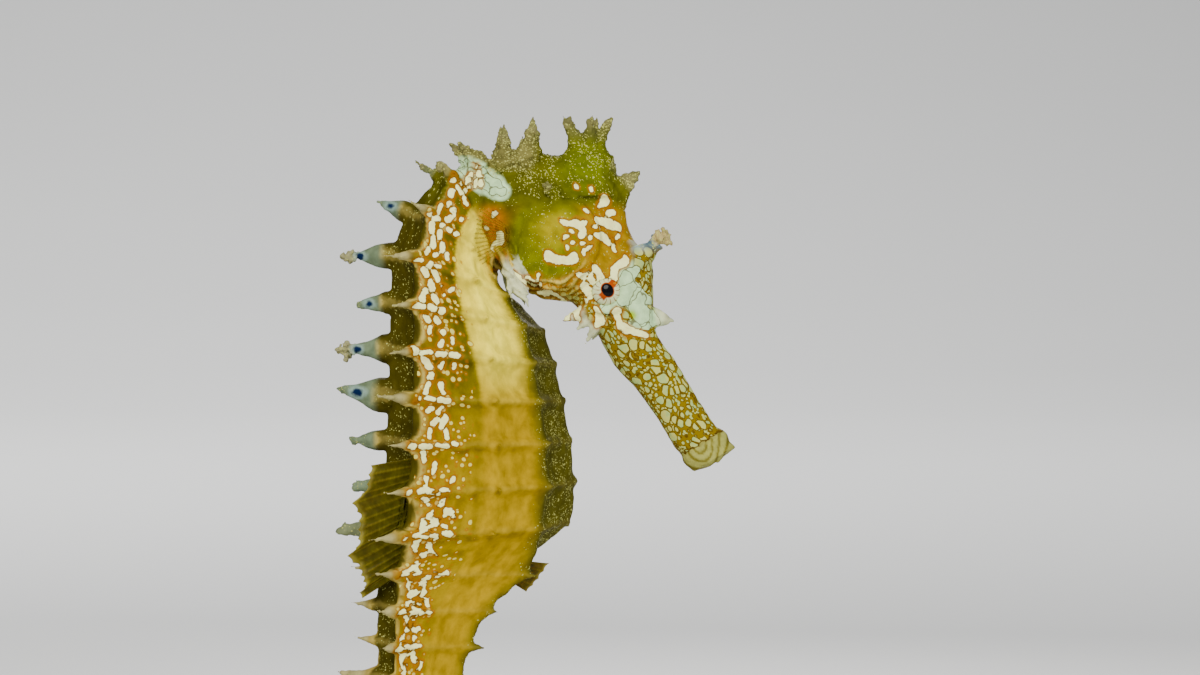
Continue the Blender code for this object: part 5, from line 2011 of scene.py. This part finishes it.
@dataclass
class Fins:
    """The dorsal, the anal and the two pectoral fins."""

    body: Body
    clearance: float = 0.4
    dorsal: tuple[float, float, float] = (9.35, 12.1, 4.9)
    dorsal_lean: Range = (0.15, 0.60)
    dorsal_swell: float = 0.38
    anal: tuple[float, float, float] = (11.75, 12.15, 2.4)
    anal_lean: Range = (0.10, 0.50)
    pectoral_root: Point = (3.1, 4.35, 99.3)
    pectoral_half_root: float = 1.1
    pectoral_length: float = 3.4
    pectoral_spread: float = math.radians(56.0)
    pectoral_out: float = math.radians(24.0)
    pectoral_finish: FinFinish = FinFinish("pectoral_web", (0.16, 0.105, 0.0), (0.22, 0.145, 0.0),
                                           (0.26, 0.19, 0.01), clearness=0.93, ray_clearness=0.60)

    def middle_place(self, size: tuple[float, float, float], lean: Range, row: int, swell: float) -> Rays:
        """A fin in the body's plane.

        Args:
            size: its first and last ring, and its height.
            lean: of the first and the last ray, towards the tail.
            row: the row of the section that it stands on.
            swell: how much longer the middle rays are.

        Returns:
            A function from shares of the fin to roots, tips and normals.
        """

        def place(share: Array) -> tuple[Array, Array, Array]:
            """Roots, tips and normals of the rays."""
            t, tilt = between(size[:2], share), between(lean, share)
            bare = self.body.skin(t, row, 1)
            away = unit(bare - self.body.middle(t))
            root = bare + away * self.clearance
            reach = size[2] * (1.0 - swell + swell * np.sin(math.pi * (0.12 + 0.76 * share)))
            way = away * np.cos(tilt)[:, None] + self.body.along(t) * np.sin(tilt)[:, None]
            return root, root + way * reach[:, None], np.tile((0.0, 1.0, 0.0), (len(t), 1))

        return place

    def pectoral_place(self, side: int) -> Rays:
        """A small fan behind a gill cover.

        Args:
            side: 1 for the left and -1 for the right.

        Returns:
            A function from shares of the fin to roots, tips and normals.
        """
        c, s = math.cos(self.pectoral_out), math.sin(self.pectoral_out)

        def place(share: Array) -> tuple[Array, Array, Array]:
            """Roots, tips and normals of the rays."""
            high = 0.5 - share
            base = np.array((1.0, side, 1.0)) * self.pectoral_root
            base = base + high[:, None] * (0.0, 0.0, 2.0 * self.pectoral_half_root)
            root = self.body.turned(base, self.body.shoulder_turn)
            angle = high * self.pectoral_spread
            way = np.stack([-np.cos(angle) * c, side * np.cos(angle) * s, np.sin(angle)], axis=1)
            reach = self.pectoral_length * (1.0 - 0.5 * high ** 2)
            return root, root + way * reach[:, None], np.tile((s, side * c, 0.0), (len(high), 1))

        return place

    def build(self) -> None:
        """Builds all four fins."""
        finish = FinFinish().material()
        dorsal = self.middle_place(self.dorsal, self.dorsal_lean, 0, self.dorsal_swell)
        anal = self.middle_place(self.anal, self.anal_lean, KEEL, 0.0)
        Fin("fin_dorsal", "dorsal_fin", 18, dorsal).build(finish)
        Fin("fin_anal", "anal_fin", 5, anal, wave=0.05).build(finish)
        clear = self.pectoral_finish.material()
        for side, name in SIDES.items():
            fan = self.pectoral_place(side)
            Fin("fin_pectoral_" + name, "pectoral_fin_" + name, 14, fan, wave=0.10).build(clear)


# The stand


@dataclass(frozen=True)
class WoodFinish:
    """Dark turned wood with an open grain under a satin varnish."""

    dark: Colour = (0.030, 0.016, 0.009)
    light: Colour = (0.105, 0.052, 0.024)
    pore: Colour = (0.012, 0.007, 0.004)
    grain: float = 160.0

    def material(self) -> bpy.types.Material:
        """Builds the node tree.

        Returns:
            The wood's material.
        """
        g = Graph("turned_wood")
        place = g.place()
        bands = g.noise(g.warped(g.scaled(place, (0.10, 1.0, 1.0)), 40.0, 0.004), self.grain, 6.0)
        pores = g.step(g.noise(g.scaled(place, (0.06, 1.0, 1.0)), 2600.0), 0.60, 0.72)
        colour = g.mix(g.step(bands, 0.35, 0.68), self.dark, self.light)
        colour = g.mix(pores * 0.7, colour, self.pore)
        relief = g.bump(bands - pores * 0.6, 0.20, 0.0001)
        rough = g.step(bands, 0.3, 0.7, 0.30, 0.42)
        return g.surface(Base_Color=colour, Roughness=rough, Normal=relief,
                         Coat_Weight=0.35, Coat_Roughness=0.18)


@dataclass(frozen=True)
class SteelFinish:
    """Steel brushed along the rod."""

    bright: Colour = (0.60, 0.60, 0.61)
    dull: Colour = (0.48, 0.48, 0.50)

    def material(self) -> bpy.types.Material:
        """Builds the node tree.

        Returns:
            The steel's material.
        """
        g = Graph("brushed_rod")
        lines = g.noise(g.scaled(g.place(), (1.0, 1.0, 0.03)), 9000.0, 3.0)
        colour = g.mix(g.step(lines, 0.3, 0.7), self.bright, self.dull)
        rough = g.step(lines, 0.3, 0.7, 0.20, 0.36)
        return g.surface(Base_Color=colour, Metallic=1.0, Roughness=rough,
                         Normal=g.bump(lines, 0.15, 0.00002))


@dataclass
class Stand:
    """A turned wooden base and the steel rod that the curled tail rests on."""

    rod_radius: float = 0.95
    segments: int = 160
    sharp_angle: float = math.radians(40.0)
    base_profile: tuple[Pair, ...] = (
        (0.0, 0.0), (26.6, 0.0), (27.4, 0.0), (27.8, 0.2), (28.0, 0.7), (28.0, 2.9), (27.7, 3.3),
        (27.1, 3.5), (26.8, 3.8), (26.75, 4.2), (26.55, 4.9), (26.2, 5.6), (25.6, 6.2), (25.0, 6.45),
        (24.2, 6.5), (0.0, 6.5))

    def build(self) -> None:
        """Builds the base and the rod."""
        base = self.turned("turned_base", self.base_profile, (0.0, 0.0, 0.0), 0.12)
        self.finish(base, WoodFinish().material(), "stand_base", "stand_wood")
        low, high = (np.array(corner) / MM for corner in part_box("stand_rod"))
        middle = (low + high) / 2
        top, r = high[2] + 0.45, self.rod_radius
        profile = ((0.0, 6.4), (1.75, 6.4), (1.85, 6.5), (1.85, 7.1), (1.65, 7.35), (r + 0.12, 7.5), (r, 7.6),
                   (r, top - 0.25), (r - 0.25, top), (0.0, top))
        rod = self.turned("steel_rod", profile, (middle[0], middle[1], 0.0), 0.05)
        self.finish(rod, SteelFinish().material(), "stand_rod", "stand_steel")

    def turned(self, name: str, profile: Sequence[Pair], at: Point, edge: float) -> bpy.types.Object:
        """Turns a profile about an upright axis.

        Args:
            name: the piece's name.
            profile: its points as (radius, height), from the axis and back to it.
            at: where the axis stands.
            edge: how far the edges are rounded.

        Returns:
            The piece, still in millimetres.
        """
        forms = Forms()
        mesh = forms.mesh
        verts = [mesh.verts.new((at[0] + radius, at[1], height)) for radius, height in profile]
        edges = [mesh.edges.new(pair) for pair in zip(verts, verts[1:])]
        bmesh.ops.spin(mesh, geom=verts + edges, cent=at, axis=(0, 0, 1), angle=2 * math.pi,
                       steps=self.segments, use_merge=True)
        bmesh.ops.remove_doubles(mesh, verts=mesh.verts, dist=1e-4)
        piece = forms.to_object(name)
        bevel = piece.modifiers.new("edge", "BEVEL")
        bevel.width, bevel.segments, bevel.limit_method = edge, 2, "ANGLE"
        bevel.angle_limit = math.radians(35.0)
        settle(piece)
        return piece

    def finish(self, piece: bpy.types.Object, material: bpy.types.Material, node: str, slot: str) -> None:
        """Ends a piece of the stand.

        Args:
            piece: the piece.
            material: its material.
            node: the solid that it replaces.
            slot: the record's slot that it is reported under.
        """
        dress(piece, material, slot, node, holder=np.zeros(3))
        piece.data.set_sharp_from_angle(angle=self.sharp_angle)


# The studio


@dataclass(frozen=True)
class Lamp:
    """A soft round light: places in millimetres, its width in metres and its power in watts."""

    name: str
    place: Point
    width: float
    power: float
    colour: Colour

    def shine(self, aim: Point) -> None:
        """Adds the light, turned towards a place.

        Args:
            aim: the place that it shines at.
        """
        data = bpy.data.lights.new(self.name, "AREA")
        data.shape, data.size = "DISK", self.width
        data.energy, data.color = self.power, self.colour
        lamp = link(self.name, data)
        lamp.location = Vector(self.place) * MM
        lamp.rotation_euler = (lamp.location - Vector(aim) * MM).to_track_quat("Z", "Y").to_euler()


@dataclass
class Studio:
    """The floor, the lights and the camera at the photo's viewing angle."""

    azimuth: float = math.radians(-22.0)
    elevation: float = math.radians(2.0)
    distance: float = 270.0
    frame_width: float = 108.0
    film_width: float = 36.0
    aim: Point = (6.55, -2.65, 79.65)
    floor_size: float = 6.0
    floor_depth: float = 1.2
    floor_bend: float = 1.6
    room_colour: Colour = (0.86, 0.88, 0.90)
    room_light: float = 0.30
    lamps: tuple[Lamp, ...] = (
        Lamp("key", (-150.0, -260.0, 240.0), 0.20, 2.0, (1.0, 0.98, 0.94)),
        Lamp("fill", (260.0, -180.0, 110.0), 0.30, 0.60, (0.96, 0.98, 1.0)),
        Lamp("rim", (150.0, 260.0, 220.0), 0.22, 0.8, (1.0, 0.98, 0.95)))
    backdrop_lamp: Lamp = Lamp("backdrop", (0.0, 700.0, 1100.0), 1.20, 34.0, (1.0, 1.0, 1.0))
    backdrop_aim: Point = (700.0, 2300.0, 150.0)

    def build(self) -> None:
        """Sets the floor, the lights and the camera up."""
        self.floor()
        self.world()
        for lamp in self.lamps:
            lamp.shine(self.aim)
        self.backdrop_lamp.shine(self.backdrop_aim)
        self.camera()

    def floor(self) -> None:
        """A plain pale floor with a backdrop that rises in a smooth curve far behind."""
        mesh = bmesh.new()
        bmesh.ops.create_grid(mesh, x_segments=2, y_segments=60, size=self.floor_size)
        for vert in mesh.verts:
            far = max(0.0, vert.co.y - self.floor_depth)
            vert.co.z = self.floor_bend * (1.0 - math.cos(min(far / self.floor_bend, math.pi / 2)))
        bmesh.ops.transform(mesh, matrix=Matrix.Rotation(self.azimuth, 4, "Z"), verts=mesh.verts)
        data = bpy.data.meshes.new("floor")
        mesh.to_mesh(data)
        mesh.free()
        data.shade_smooth()
        g = Graph("pale_floor")
        tone = g.mix(g.noise(g.place(), 3.0), (0.70, 0.70, 0.69), (0.74, 0.74, 0.73))
        data.materials.append(g.surface(Base_Color=tone, Roughness=0.85))
        link("floor", data)

    def world(self) -> None:
        """An even, pale surrounding light."""
        world = bpy.data.worlds.new("soft_room")
        world.use_nodes = True
        shade = world.node_tree.nodes["Background"]
        shade.inputs["Color"].default_value = (*self.room_colour, 1.0)
        shade.inputs["Strength"].default_value = self.room_light
        bpy.context.scene.world = world

    def camera(self) -> None:
        """Aims the camera so that the object fills the frame as in the photo."""
        across, rise = math.cos(self.elevation), math.sin(self.elevation)
        back = Vector((math.sin(self.azimuth) * across, -math.cos(self.azimuth) * across, rise))
        data = bpy.data.cameras.new("camera")
        data.sensor_width = self.film_width
        data.lens = self.film_width * self.distance / self.frame_width
        data.clip_start = 0.01
        camera = link("camera", data)
        camera.location = (Vector(self.aim) + back * self.distance) * MM
        camera.rotation_euler = back.to_track_quat("Z", "Y").to_euler()
        bpy.context.scene.camera = camera


FLESH = ("snout", "head", "coronet", "neck", "trunk_upper", "trunk_lower",
         "tail_1", "tail_2", "tail_3", "tail_4", "tail_5", "tail_6")


def main() -> None:
    """Builds every piece in order and reports it."""
    logging.basicConfig(level=logging.INFO, format="%(name)s: %(message)s")
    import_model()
    body = Body()
    head = Head(body)
    thorns = Spines(body).all() + head.thorns()
    skin = SkinShape(body, head, thorns).fused()
    Coat(body, thorns).paint(skin.data)
    dress(skin, SkinFinish().material(), "skin", *FLESH)
    eye_finish = EyeFinish().material()
    for side in SIDES:
        Eye(head, side).build(eye_finish)
    Fins(body).build()
    Stand().build()
    Studio().build()


if __name__ == "__main__":
    main()
